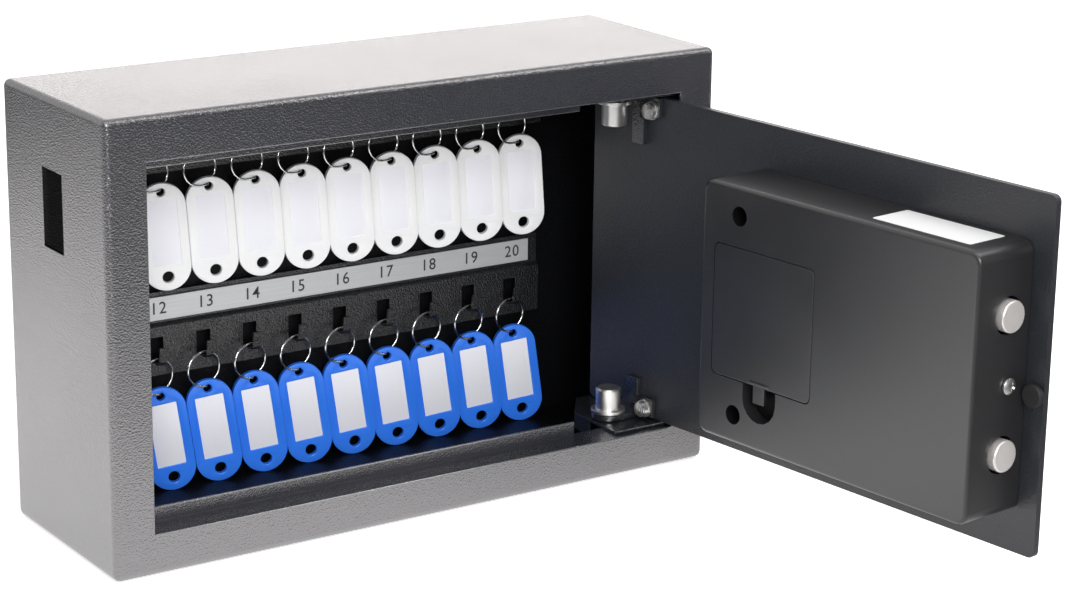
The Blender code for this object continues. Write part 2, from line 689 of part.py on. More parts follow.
def make_tag_mesh(lean, eye_shift, slew):
    """One tag: a holder with an eye at each end and a window, its card, and the ring that it hangs by."""
    half_spacing = TAG_HOLE_SPACING / 2
    swing = -math.asin(eye_shift / (RING_RADIUS * 2 * math.cos(slew)))
    radius = TAG_WIDTH / 2
    run = TAG_LENGTH / 2 - radius
    ends = arc(0, run - half_spacing, radius, 0, math.pi, TAG_END_STEPS)
    ends += arc(0, -run - half_spacing, radius, math.pi, math.pi * 2, TAG_END_STEPS)
    window = rectangle(-TAG_WINDOW_WIDTH / 2, -half_spacing - TAG_WINDOW_HEIGHT / 2,
                       TAG_WINDOW_WIDTH / 2, -half_spacing + TAG_WINDOW_HEIGHT / 2)
    holes = [circle(0, 0, TAG_TOP_HOLE, TINY_SIDES), window,
             circle(0, -TAG_HOLE_SPACING, TAG_BOTTOM_HOLE, TINY_SIDES)]
    holder = slab([ends] + holes, -TAG_THICKNESS / 2, TAG_THICKNESS / 2, "Y")
    half_width, half_height = TAG_WINDOW_WIDTH / 2 + CARD_LAP, TAG_WINDOW_HEIGHT / 2 + CARD_LAP
    card = box((-half_width, -CARD_THICKNESS / 2, -half_spacing - half_height),
               (half_width, CARD_THICKNESS / 2, -half_spacing + half_height))
    eye = ring_place(swing - slew, swing, slew)
    seat = Matrix.Translation((eye.x, 0, eye.y - RING_BEARING)) @ Matrix.Rotation(-lean, 4, "Y")
    holder.transform(seat)
    card.transform(seat)
    curve = bpy.data.curves.new("ring", "CURVE")
    curve.dimensions = "3D"
    curve.bevel_depth = RING_WIRE
    curve.bevel_resolution = 1
    points = ring_wire(swing, slew)
    spline = curve.splines.new("POLY")
    spline.points.add(len(points) - 1)
    for point, place_of in zip(spline.points, points):
        point.co = (*place_of, 1)
    spline.use_cyclic_u = True
    ring = baked(bpy.data.objects.new("ring", curve))
    tag = fused([holder, card, ring])
    tag.transform(Matrix.Rotation(-TAG_TURN, 4, "Z"))
    return tag


def make_tags():
    """Ten tags on each rail, white above and blue below, each with its origin where its ring hangs."""
    upper_hang = (UPPER_TAG_LEAN, UPPER_EYE_SHIFT, UPPER_RING_SLEW)
    lower_hang = (LOWER_TAG_LEAN, LOWER_EYE_SHIFT, LOWER_RING_SLEW)
    for lift, hang, finish, first in ((ROW_PITCH, upper_hang, WHITE_PLASTIC, 1),
                                      (0, lower_hang, BLUE_PLASTIC, HOOK_COUNT + 1)):
        shared = make_tag_mesh(*hang)
        for number, x in enumerate(hook_places(), first):
            name = "key_tag_" + str(number).zfill(2)
            tag = place(name, shared.copy(), parts, front_face, (x, PIVOT_Y, PIVOT_Z + lift))
            dressed(tag, finish)


def make_hinge(end, edge, inwards, tab_height, nut_level):
    """One hinge, worked inwards from the opening's lower or upper edge."""
    def level(height):
        return edge + inwards * height

    def tier(outlines, low, high):
        return slab(outlines, *sorted((level(low), level(high))), "Z")

    plate_low, plate_high = GAP, GAP + BRACKET_THICKNESS
    left, right = PIN_X - BRACKET_LEFT, PIN_X + BRACKET_RIGHT
    plan = [(left, PIN_Y - BRACKET_FRONT), (right, PIN_Y - BRACKET_FRONT), (right, PIN_Y + BRACKET_BACK),
            (PIN_X + BRACKET_CORNER, PIN_Y + BRACKET_BACK), (left, PIN_Y + BRACKET_SIDE)]
    shank_hole = circle(PIN_X, PIN_Y, PIN_SHANK + GAP, ROUND_SIDES)
    bracket = piece("hinge_bracket_" + end, tier([plan, shank_hole], plate_low, plate_high), DARK_COAT)
    ear = tier([rectangle(left, PIN_Y + BRACKET_SIDE - BRACKET_EAR_LENGTH,
                          left + BRACKET_THICKNESS, PIN_Y + BRACKET_SIDE)],
               -BRACKET_EAR_DROP, plate_high - BRACKET_THICKNESS / 2)
    work(bracket, "bracket_ear_" + end, ear, "UNION")

    arm_low, arm_high = DOOR_SILL_GAP, DOOR_SILL_GAP + ARM_THICKNESS
    root = DOOR_BACK + GAP
    inside = root + ARM_THICKNESS / 2
    plan = [(PIN_X - ARM_RADIUS, inside), (PIN_X + ARM_RADIUS, inside)]
    plan += arc(PIN_X, PIN_Y, ARM_RADIUS, 0, math.pi, TINY_SIDES)
    arm = piece("hinge_arm_" + end, tier([plan, shank_hole], arm_low, arm_high), DARK_COAT, door_axis)
    foot = level(arm_low + ARM_FOOT_HEIGHT)
    tip = level(arm_low + tab_height)
    base = level(arm_low + ARM_THICKNESS / 2)
    heel = PIN_X + ARM_RADIUS + ARM_HEEL
    neck = arm_low + ARM_FOOT_HEIGHT + ARM_HEEL
    span, drop = heel - PIN_X - ARM_TAB_RIGHT, neck - arm_high - ARM_HEEL
    turns = [math.pi / 2 * step / ARM_FLARE_STEPS for step in range(ARM_FLARE_STEPS + 1)]
    flare = [(heel - span * math.sin(turn), level(neck - drop * math.cos(turn))) for turn in turns]
    face = [(PIN_X - ARM_FOOT_REACH, base), (heel, base)] + flare + [
        (PIN_X + ARM_TAB_RIGHT, tip), (PIN_X - ARM_TAB_LEFT, tip),
        (PIN_X - ARM_TAB_LEFT, foot), (PIN_X - ARM_FOOT_REACH, foot)]
    work(arm, "arm_tab_" + end, slab([face], root, root + ARM_THICKNESS, "Y"), "UNION")

    seat = root + ARM_THICKNESS / 2
    nut = rod((PIN_X - NUT_REACH, level(arm_low + nut_level)), NUT_RADIUS, seat,
              root + ARM_THICKNESS + NUT_THICKNESS, "Y", 6)
    work(arm, "arm_nut_" + end, nut, "UNION")

    collar_low = arm_high + GAP
    head_low = collar_low + WASHER_THICKNESS
    head_high = head_low + PIN_HEAD_HEIGHT
    profile = [(0, head_high), (PIN_HEAD - PIN_CHAMFER, head_high), (PIN_HEAD, head_high - PIN_CHAMFER),
               (PIN_HEAD, head_low), (WASHER_RADIUS, head_low), (WASHER_RADIUS, collar_low),
               (PIN_SHANK, collar_low), (PIN_SHANK, 0), (PIN_FOOT, 0),
               (PIN_FOOT, -PIN_FOOT_THICKNESS), (0, -PIN_FOOT_THICKNESS)]
    profile = [(radius, level(height)) for radius, height in profile]
    piece("hinge_pin_" + end, turned(profile, (PIN_X, PIN_Y), "Z", ROUND_SIDES), ZINC)


def make_door():
    """The flat leaf, pierced for the knob, the cylinder, the cable and the two long screws."""
    holes = [circle(KNOB_X, KNOB_Z, KNOB_SHAFT + GAP, ROUND_SIDES),
             circle(KNOB_X, CYLINDER_Z, CYLINDER_RADIUS + GAP, ROUND_SIDES),
             circle(KEYPAD_X, KEYPAD_Z, CABLE_HOLE, SMALL_SIDES)]
    holes += [circle(WELL_X, level, SCREW_SHANK + GAP, TINY_SIDES) for level in WELL_LEVELS]
    outline = rounded(DOOR_LEFT, DOOR_LOW, DOOR_RIGHT, DOOR_HIGH, DOOR_CORNER)
    piece("door_plate", slab([outline] + holes, DOOR_FACE, DOOR_BACK, "Y"), DARK_COAT, door_axis)
    buffer = rod((DOOR_LEFT + BUFFER_INSET, DOOR_LOW + BUFFER_LEVEL), BUFFER_RADIUS,
                 DOOR_BACK + GAP, DOOR_BACK + GAP + BUFFER_HEIGHT, "Y", ROUND_SIDES)
    piece("door_buffer", buffer, BLACK_RUBBER, door_axis)


def recess_outline(grow, top):
    """The U of the finger recess, made larger by its wall where that is asked for."""
    x = (COVER_LEFT + COVER_RIGHT) / 2
    low = COVER_LOW - RECESS_DROP + RECESS_RADIUS
    return [(x + RECESS_RADIUS + grow, top), (x - RECESS_RADIUS - grow, top)] + arc(
        x, low, RECESS_RADIUS + grow, math.pi, math.pi * 2, TINY_SIDES)


def make_housing():
    """The moulded lock housing: a shell with a battery bay, a finger recess, two wells and a side boss."""
    outline = rounded(HOUSING_LEFT, HOUSING_LOW, HOUSING_RIGHT, HOUSING_HIGH, HOUSING_CORNER)
    shell = soften_rim(slab([outline], HOUSING_BASE, HOUSING_FACE, "Y"), HOUSING_FACE, HOUSING_RIM)
    housing = piece("lock_housing", shell, BLACK_PLASTIC, door_axis)
    wall = HOUSING_WALL
    hollow = rounded(HOUSING_LEFT + wall, HOUSING_LOW + wall, HOUSING_RIGHT - wall, HOUSING_HIGH - wall,
                     HOUSING_CORNER - wall)
    work(housing, "housing_hollow", slab([hollow], HOUSING_BASE - OVERRUN, HOUSING_INNER, "Y"))
    margin = COVER_GAP + BAY_WALL
    bay = box((COVER_LEFT - margin, BAY_FLOOR - BAY_WALL, COVER_LOW - margin),
              (COVER_RIGHT + margin, HOUSING_FACE - wall / 2, COVER_HIGH + margin))
    work(housing, "bay_walls", bay, "UNION")
    u_wall = slab([recess_outline(BAY_WALL, COVER_LOW)], HOUSING_FACE - RECESS_DEPTH - BAY_WALL,
                  HOUSING_FACE - wall / 2, "Y")
    work(housing, "recess_walls", u_wall, "UNION")
    wells = [rod((WELL_X, level), WELL_RADIUS + WELL_WALL, HOUSING_BASE, HOUSING_FACE - wall / 2, "Y",
                 ROUND_SIDES) for level in WELL_LEVELS]
    work(housing, "well_walls", together(wells), "UNION")
    boss_y, boss_z = HOUSING_BASE + SIDE_SCREW_DEPTH, HOUSING_LOW + SIDE_SCREW_LEVEL
    half_boss = SIDE_BOSS_SIZE / 2
    boss = box((HOUSING_LEFT + wall / 2, boss_y - half_boss, boss_z - half_boss),
               (HOUSING_LEFT + wall + SIDE_BOSS_SIZE, boss_y + half_boss, boss_z + half_boss))
    work(housing, "side_boss", boss, "UNION")

    seat = slab([rounded(COVER_LEFT - COVER_GAP, COVER_LOW - COVER_GAP, COVER_RIGHT + COVER_GAP,
                         COVER_HIGH + COVER_GAP, COVER_CORNER)], COVER_BACK - GAP, HOUSING_FACE + OVERRUN, "Y")
    work(housing, "cover_seat", seat)
    ledge = COVER_LEDGE
    work(housing, "bay_hollow", box((COVER_LEFT + ledge, BAY_FLOOR, COVER_LOW + ledge),
                                    (COVER_RIGHT - ledge, HOUSING_FACE, COVER_HIGH - ledge)))
    recess = slab([recess_outline(0, COVER_LOW + ledge + OVERRUN)], HOUSING_FACE - RECESS_DEPTH,
                  HOUSING_FACE + OVERRUN, "Y")
    work(housing, "finger_recess", recess)
    floor = HOUSING_BASE + WELL_FLOOR
    bores = [rod((WELL_X, level), WELL_RADIUS, floor, HOUSING_FACE + OVERRUN, "Y", ROUND_SIDES)
             for level in WELL_LEVELS]
    work(housing, "well_bores", together(bores))
    shanks = [rod((WELL_X, level), SCREW_SHANK + GAP, HOUSING_BASE - OVERRUN, floor + OVERRUN, "Y", TINY_SIDES)
              for level in WELL_LEVELS]
    shanks.append(rod((boss_y, boss_z), SCREW_SHANK + GAP, HOUSING_LEFT - OVERRUN,
                      HOUSING_LEFT + wall + SIDE_BOSS_SIZE + OVERRUN, "X", TINY_SIDES))
    work(housing, "screw_holes", together(shanks))
    bolt_holes = [rod((BOLT_Y, level), BOLT_RADIUS + BOLT_CLEARANCE, HOUSING_LEFT - OVERRUN,
                      HOUSING_LEFT + wall + OVERRUN / 2, "X", FINE_SIDES) for level in BOLT_LEVELS]
    work(housing, "bolt_holes", together(bolt_holes))

    head = [(SCREW_HEAD * across, SCREW_HEAD_HEIGHT * up) for across, up in SCREW_DOME_SHARES]
    head.append((SCREW_SHANK, 0))
    for name, level in zip(("lower", "upper"), WELL_LEVELS):
        profile = [(radius, floor + GAP + height) for radius, height in head]
        profile += [(SCREW_SHANK, floor + GAP - SCREW_LENGTH), (0, floor + GAP - SCREW_LENGTH)]
        screw = turned(profile, (WELL_X, level), "Y", SMALL_SIDES)
        piece("housing_screw_" + name, screw, ZINC, door_axis)
    profile = [(radius, HOUSING_LEFT - GAP - height) for radius, height in head]
    profile += [(SCREW_SHANK, HOUSING_LEFT - GAP + SIDE_SCREW_LENGTH), (0, HOUSING_LEFT - GAP + SIDE_SCREW_LENGTH)]
    piece("housing_screw_side", turned(profile, (boss_y, boss_z), "X", SMALL_SIDES), ZINC, door_axis)


def make_battery_cover():
    """The flush cover, which tips out about its top edge, with the springy tongue that latches it below."""
    outline = rounded(COVER_LEFT, COVER_LOW, COVER_RIGHT, COVER_HIGH, COVER_CORNER)
    plate = slab([outline], COVER_BACK, HOUSING_FACE, "Y")
    middle = (COVER_LEFT + COVER_RIGHT) / 2
    cover = piece("battery_cover", plate, BLACK_PLASTIC, door_axis, (middle, HOUSING_FACE, COVER_HIGH))
    root, half_tongue = middle + TONGUE_SHIFT, TONGUE_WIDTH / 2
    tongue = box((root - half_tongue, COVER_BACK - TONGUE_THICKNESS / 2, COVER_LOW - TONGUE_LENGTH),
                 (root + half_tongue, COVER_BACK + TONGUE_THICKNESS / 2, COVER_LOW + TONGUE_THICKNESS))
    work(cover, "cover_tongue", tongue, "UNION")
    low, half_lip = COVER_LOW + COVER_LIP_LEVEL, COVER_LIP_WIDTH / 2
    lip = box((middle - half_lip, COVER_BACK + COVER_THICKNESS / 2, low),
              (middle + half_lip, HOUSING_FACE + COVER_LIP_PROUD, low + COVER_LIP_HEIGHT))
    work(cover, "cover_lip", lip, "UNION")


def make_batteries():
    """Four round cells side by side on the bay's floor, each pressed against the next."""
    middle = (COVER_LEFT + COVER_RIGHT) / 2
    low = (COVER_LOW + COVER_HIGH - BATTERY_LENGTH) / 2
    cells = []
    for index in range(BATTERY_COUNT):
        x = middle + BATTERY_SPACING * (index - (BATTERY_COUNT - 1) / 2)
        end = low + BATTERY_LENGTH
        profile = [(0, end + BATTERY_CAP_HEIGHT), (BATTERY_CAP, end + BATTERY_CAP_HEIGHT), (BATTERY_CAP, end),
                   (BATTERY_RADIUS, end), (BATTERY_RADIUS, low), (0, low)]
        cells.append(turned(profile, (x, BAY_FLOOR + BATTERY_LIFT + BATTERY_RADIUS), "Z", SMALL_SIDES))
    piece("batteries", fused(cells), BATTERY_FOIL, door_axis)


def make_bolt_works():
    """Two turned bolts on a sheet carriage, which the knob's crank pin drives, and the solenoid that locks it."""
    middle = sum(BOLT_LEVELS) / 2
    for name, level in zip(("lower", "upper"), BOLT_LEVELS):
        rear = BOLT_TIP + BOLT_LENGTH
        profile = [(0, BOLT_TIP), (BOLT_RADIUS - BOLT_CHAMFER, BOLT_TIP), (BOLT_RADIUS, BOLT_TIP + BOLT_CHAMFER),
                   (BOLT_RADIUS, rear), (BOLT_TAIL, rear), (BOLT_TAIL, rear + BOLT_TAIL_LENGTH),
                   (0, rear + BOLT_TAIL_LENGTH)]
        bolt = turned(profile, (BOLT_Y, level), "X", FINE_SIDES)
        piece("locking_bolt_" + name, bolt, NICKEL, door_axis, (BOLT_TIP, BOLT_Y, level))

    half = CARRIAGE_SHEET / 2
    path = [(CARRIAGE_LEFT + CARRIAGE_WIDTH, CARRIAGE_Y + half), (CARRIAGE_LEFT + half, CARRIAGE_Y + half),
            (CARRIAGE_LEFT + half, CARRIAGE_Y + CARRIAGE_EAR_DEPTH)]
    low, high = BOLT_LEVELS[0] - CARRIAGE_MARGIN, BOLT_LEVELS[1] + CARRIAGE_MARGIN
    sheet = slab([ribbon(path, CARRIAGE_SHEET)], low, high, "Z")
    carriage = piece("bolt_carriage", sheet, ZINC, door_axis, (BOLT_TIP, BOLT_Y, middle))
    cuts = [rod((BOLT_Y, level), BOLT_TAIL + GAP, CARRIAGE_LEFT - OVERRUN, CARRIAGE_LEFT + CARRIAGE_SHEET + OVERRUN,
                "X", SMALL_SIDES) for level in BOLT_LEVELS]
    half_slot = CRANK_PIN + CRANK_PLAY
    cuts.append(box((CRANK_PIN_X - half_slot, CARRIAGE_Y - OVERRUN, KNOB_Z - CRANK_ARM - half_slot),
                    (CRANK_PIN_X + half_slot, CARRIAGE_Y + CARRIAGE_SHEET + OVERRUN, CRANK_PIN_Z + half_slot)))
    cuts.append(rod((SOLENOID_X + BOLT_THROW, SOLENOID_Z), PLUNGER_RADIUS + GAP * 2, CARRIAGE_Y - OVERRUN,
                    CARRIAGE_Y + CARRIAGE_SHEET + OVERRUN, "Y", SMALL_SIDES))
    work(carriage, "carriage_holes", together(cuts))

    far = HOUSING_INNER - GAP - SOLENOID_SHEET / 2
    near = HOUSING_INNER - GAP * 3 - SOLENOID_SHEET * 3 / 2 - SOLENOID_LENGTH
    reach = SOLENOID_REACH
    path = [(SOLENOID_X + reach, near), (SOLENOID_X - reach, near), (SOLENOID_X - reach, far),
            (SOLENOID_X + reach, far)]
    yoke = slab([ribbon(path, SOLENOID_SHEET)], SOLENOID_Z - SOLENOID_WIDTH / 2, SOLENOID_Z + SOLENOID_WIDTH / 2,
                "Z")
    coil = rod((SOLENOID_X, SOLENOID_Z), SOLENOID_COIL, near, far, "Y", ROUND_SIDES)
    plunger = rod((SOLENOID_X, SOLENOID_Z), PLUNGER_RADIUS, CARRIAGE_Y + CARRIAGE_SHEET + GAP, far, "Y",
                  SMALL_SIDES)
    piece("solenoid", fused([yoke, coil, plunger]), ZINC, door_axis)


def key_places():
    """Name and place of each key, row by row from the top, as seen from outside."""
    names = ("1", "2", "3", "4", "5", "6", "7", "8", "9", "star", "0", "hash")
    return [(name, KEYPAD_X + KEY_PITCH * (index % 3 - 1), KEYPAD_Z + KEY_PITCH * (3 / 2 - index // 3))
            for index, name in enumerate(names)]


def light_places():
    """X of the three status lights, one above each column of keys."""
    return [KEYPAD_X + KEY_PITCH * column for column in (-1, 0, 1)]


def make_panel():
    """The outer panel: a shallow moulded tray pierced for keys, lights, knob and cylinder."""
    outline = rounded(PANEL_LEFT, PANEL_LOW, PANEL_LEFT + PANEL_WIDTH, PANEL_LOW + PANEL_HEIGHT, PANEL_CORNER)
    tray = soften_rim(slab([outline], PANEL_FACE, PANEL_BACK, "Y"), PANEL_FACE, PANEL_RIM)
    panel = piece("keypad_panel", tray, BLACK_PLASTIC, door_axis)
    wall = PANEL_WALL
    hollow = rounded(PANEL_LEFT + wall, PANEL_LOW + wall, PANEL_LEFT + PANEL_WIDTH - wall,
                     PANEL_LOW + PANEL_HEIGHT - wall, PANEL_CORNER - wall)
    work(panel, "panel_hollow", slab([hollow], PANEL_FACE + wall, PANEL_BACK + OVERRUN, "Y"))
    bosses = [rod((WELL_X, level), PANEL_BOSS, PANEL_FACE + wall / 2, PANEL_BACK, "Y", SMALL_SIDES)
              for level in WELL_LEVELS]
    work(panel, "panel_bosses", together(bosses), "UNION")
    stub = rod((KNOB_X, FLAP_Z), FLAP_PIVOT, PANEL_FACE - FLAP_THICKNESS - GAP * 2, PANEL_FACE + wall / 2, "Y",
               SMALL_SIDES)
    work(panel, "flap_stub", stub, "UNION")
    half_hole = KEY_SIZE / 2 + GAP
    start, end = PANEL_FACE - OVERRUN, PANEL_FACE + wall + OVERRUN
    cuts = [box((x - half_hole, start, z - half_hole), (x + half_hole, end, z + half_hole))
            for name, x, z in key_places()]
    cuts += [rod((x, LIGHT_Z), LIGHT_RADIUS + GAP, start, end, "Y", TINY_SIDES) for x in light_places()]
    cuts.append(rod((KNOB_X, KNOB_Z), KNOB_SHAFT + GAP, start, end, "Y", ROUND_SIDES))
    cuts.append(rod((KNOB_X, CYLINDER_Z), CYLINDER_RADIUS + GAP, start, end, "Y", ROUND_SIDES))
    thread = HOUSING_BASE + WELL_FLOOR + GAP - SCREW_LENGTH - GAP
    cuts += [rod((WELL_X, level), SCREW_SHANK + GAP, thread, PANEL_BACK + OVERRUN, "Y", TINY_SIDES)
             for level in WELL_LEVELS]
    work(panel, "panel_holes", together(cuts))
    rear = PANEL_FACE + wall + GAP
    guide = box((light_places()[0] - LIGHT_RADIUS, rear, LIGHT_Z - LIGHT_RADIUS),
                (light_places()[-1] + LIGHT_RADIUS, rear + LIGHT_BAR, LIGHT_Z + LIGHT_RADIUS))
    lights = [rod((x, LIGHT_Z), LIGHT_RADIUS, PANEL_FACE - LIGHT_PROUD, rear + LIGHT_BAR / 2, "Y", TINY_SIDES)
              for x in light_places()]
    piece("status_lights", fused([guide] + lights), LIGHT_PLASTIC, door_axis)


def make_keys():
    """Twelve push keys: a square cap with eased edges on a flange that the panel keeps in."""
    back = PANEL_FACE + PANEL_WALL + GAP
    for name, x, z in key_places():
        half_flange = KEY_SIZE / 2 + KEY_FLANGE
        flange = box((x - half_flange, back, z - half_flange),
                     (x + half_flange, back + KEY_FLANGE_THICKNESS, z + half_flange))
        shape = bmesh.new()
        shape.from_mesh(flange)
        front = min(shape.faces, key=lambda face: face.calc_center_median().y)
        bmesh.ops.inset_region(shape, faces=[front], thickness=KEY_FLANGE)
        raised = bmesh.ops.extrude_discrete_faces(shape, faces=[front])["faces"][0]
        rise = PANEL_WALL + GAP + KEY_PROUD
        bmesh.ops.translate(shape, verts=raised.verts, vec=(0, -rise, 0))
        bmesh.ops.bevel(shape, geom=list(raised.edges), offset=KEY_EDGE, segments=1, profile=0.5,
                        affect="EDGES")
        shape.to_mesh(flange)
        shape.free()
        piece("key_" + name, closed(flange), BLACK_PLASTIC, door_axis, (x, back, z))


def make_knob():
    """The turning knob with its grip bar and shaft, and the crank on the shaft's inner end."""
    face = PANEL_FACE - GAP
    front = face - KNOB_BASE_HEIGHT
    crank_end = CRANK_Y + CRANK_THICKNESS
    profile = [(0, front), (KNOB_RADIUS - KNOB_CHAMFER, front), (KNOB_RADIUS, front + KNOB_CHAMFER),
               (KNOB_RADIUS, face), (KNOB_SHAFT, face), (KNOB_SHAFT, CRANK_Y), (CRANK_RADIUS, CRANK_Y),
               (CRANK_RADIUS, crank_end), (0, crank_end)]
    body = turned(profile, (KNOB_X, KNOB_Z), "Y", FINE_SIDES)
    knob = piece("lock_knob", body, BLACK_PLASTIC, door_axis, (KNOB_X, face, KNOB_Z))
    half_length, half_width = KNOB_GRIP_LENGTH / 2, KNOB_GRIP_WIDTH / 2
    grip = slab([rounded(KNOB_X - half_width, KNOB_Z - half_length, KNOB_X + half_width, KNOB_Z + half_length,
                         half_width * KNOB_GRIP_ROUND_SHARE)], front - KNOB_GRIP_HEIGHT, front + KNOB_CHAMFER, "Y")
    work(knob, "knob_grip", soften_rim(grip, front - KNOB_GRIP_HEIGHT, KNOB_CHAMFER, 2), "UNION")
    pin = rod((CRANK_PIN_X, CRANK_PIN_Z), CRANK_PIN, CRANK_Y + CRANK_THICKNESS / 2, crank_end + CRANK_PIN_LENGTH,
              "Y", SMALL_SIDES)
    work(knob, "crank_pin", pin, "UNION")


def make_emergency_lock():
    """The emergency cylinder in the panel, and the flap that hangs over it from a stub."""
    cylinder = rod((KNOB_X, CYLINDER_Z), CYLINDER_RADIUS, PANEL_FACE, DOOR_BACK + CYLINDER_TAIL, "Y", FINE_SIDES)
    piece("emergency_lock", cylinder, ZINC, door_axis)
    lean = math.asin((FLAP_RADIUS - FLAP_EYE) / FLAP_RISE)
    outline = arc(KNOB_X, CYLINDER_Z, FLAP_RADIUS, math.pi - lean, math.pi * 2 + lean, ROUND_SIDES)
    outline += arc(KNOB_X, FLAP_Z, FLAP_EYE, lean, math.pi - lean, TINY_SIDES)
    back = PANEL_FACE - GAP
    flap = slab([outline, circle(KNOB_X, FLAP_Z, FLAP_PIVOT + GAP, TINY_SIDES)], back - FLAP_THICKNESS, back, "Y")
    piece("emergency_flap", flap, BLACK_PLASTIC, door_axis, (KNOB_X, back, FLAP_Z))


make_cabinet_body()
make_rail("upper", ROW_PITCH)
make_rail("lower", 0)
make_tags()
make_hinge("lower", SILL_Z, 1, LOWER_TAB_HEIGHT, LOWER_NUT_LEVEL)
make_hinge("upper", HEADER_Z, -1, UPPER_TAB_HEIGHT, UPPER_NUT_LEVEL)
make_door()
make_housing()
make_battery_cover()
make_batteries()
make_bolt_works()
make_panel()
make_keys()
make_knob()
make_emergency_lock()
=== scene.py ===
import math

import bmesh
import bpy
from mathutils import Matrix, Vector


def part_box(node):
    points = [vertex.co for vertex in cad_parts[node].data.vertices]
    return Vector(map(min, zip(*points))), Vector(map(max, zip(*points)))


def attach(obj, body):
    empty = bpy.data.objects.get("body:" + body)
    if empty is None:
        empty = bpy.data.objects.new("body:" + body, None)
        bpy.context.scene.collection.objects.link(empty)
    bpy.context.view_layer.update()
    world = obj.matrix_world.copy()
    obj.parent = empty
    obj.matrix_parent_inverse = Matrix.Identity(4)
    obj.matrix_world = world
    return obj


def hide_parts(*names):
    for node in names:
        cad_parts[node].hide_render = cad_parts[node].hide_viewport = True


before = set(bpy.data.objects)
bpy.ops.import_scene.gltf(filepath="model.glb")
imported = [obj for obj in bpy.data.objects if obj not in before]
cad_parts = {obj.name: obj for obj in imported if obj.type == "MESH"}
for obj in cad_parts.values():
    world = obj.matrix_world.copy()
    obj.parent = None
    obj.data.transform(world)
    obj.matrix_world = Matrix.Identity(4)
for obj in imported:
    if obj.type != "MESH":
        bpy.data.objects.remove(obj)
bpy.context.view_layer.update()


# Studio: a pale table under a white surround, with a large softbox overhead, one high on the right, one in
# front, one low on the right and one low behind. Gloss shows the white sweep behind the cabinet and the
# bright table round it, and the dim room in front.
camera_lens = bpy.data.cameras.new("camera")
camera_lens.lens = 94.235
camera_lens.sensor_width = 36
camera = bpy.data.objects.new("camera", camera_lens)
camera.location = (-0.63425, -1.06904, 0.45079)
camera.rotation_euler = (1.290116, -0.014264, -0.593381)
bpy.context.scene.collection.objects.link(camera)
bpy.context.scene.camera = camera
bpy.context.scene.view_settings.view_transform = "Standard"


def math_node(nodes, operation):
    """A Math node that does one operation."""
    step = nodes.new("ShaderNodeMath")
    step.operation = operation
    return step


def range_node(nodes, low, high, start=0.0, end=1.0):
    """A Map Range node that turns a reading from start to end into a value from low to high."""
    spread = nodes.new("ShaderNodeMapRange")
    spread.inputs["From Min"].default_value = start
    spread.inputs["From Max"].default_value = end
    spread.inputs["To Min"].default_value = low
    spread.inputs["To Max"].default_value = high
    return spread


def tone_node(nodes, dark, light):
    """A Mix node that runs from a dark colour to a light one."""
    tone = nodes.new("ShaderNodeMix")
    tone.data_type = "RGBA"
    tone.inputs["A"].default_value = (*dark, 1)
    tone.inputs["B"].default_value = (*light, 1)
    return tone


surround = bpy.data.worlds.new("studio_surround")
bpy.context.scene.world = surround
surround.use_nodes = True
nodes, links = surround.node_tree.nodes, surround.node_tree.links
nodes.clear()
direction = nodes.new("ShaderNodeTexCoord")
along = nodes.new("ShaderNodeSeparateXYZ")
depth_of_room = range_node(nodes, low=0.10, high=1.0, start=-0.25, end=0.5)
soft_room = nodes.new("ShaderNodeBackground")
soft_room.inputs["Color"].default_value = (1.0, 0.99, 0.98, 1)
soft_room.inputs["Strength"].default_value = 0.42
white_sweep = nodes.new("ShaderNodeBackground")
white_sweep.inputs["Color"].default_value = (1, 1, 1, 1)
light_path = nodes.new("ShaderNodeLightPath")
sweep_light = math_node(nodes, "MAXIMUM")
gloss_or_glass = math_node(nodes, "MAXIMUM")
seen_sweep = math_node(nodes, "MAXIMUM")
seen_directly = nodes.new("ShaderNodeMixShader")
room_output = nodes.new("ShaderNodeOutputWorld")
links.new(direction.outputs["Generated"], along.inputs["Vector"])
links.new(along.outputs["Y"], depth_of_room.inputs["Value"])
links.new(depth_of_room.outputs["Result"], sweep_light.inputs[0])
links.new(light_path.outputs["Is Camera Ray"], sweep_light.inputs[1])
links.new(sweep_light.outputs["Value"], white_sweep.inputs["Strength"])
links.new(light_path.outputs["Is Glossy Ray"], gloss_or_glass.inputs[0])
links.new(light_path.outputs["Is Transmission Ray"], gloss_or_glass.inputs[1])
links.new(gloss_or_glass.outputs["Value"], seen_sweep.inputs[0])
links.new(light_path.outputs["Is Camera Ray"], seen_sweep.inputs[1])
links.new(seen_sweep.outputs["Value"], seen_directly.inputs["Fac"])
links.new(soft_room.outputs["Background"], seen_directly.inputs[1])
links.new(white_sweep.outputs["Background"], seen_directly.inputs[2])
links.new(seen_directly.outputs["Shader"], room_output.inputs["Surface"])

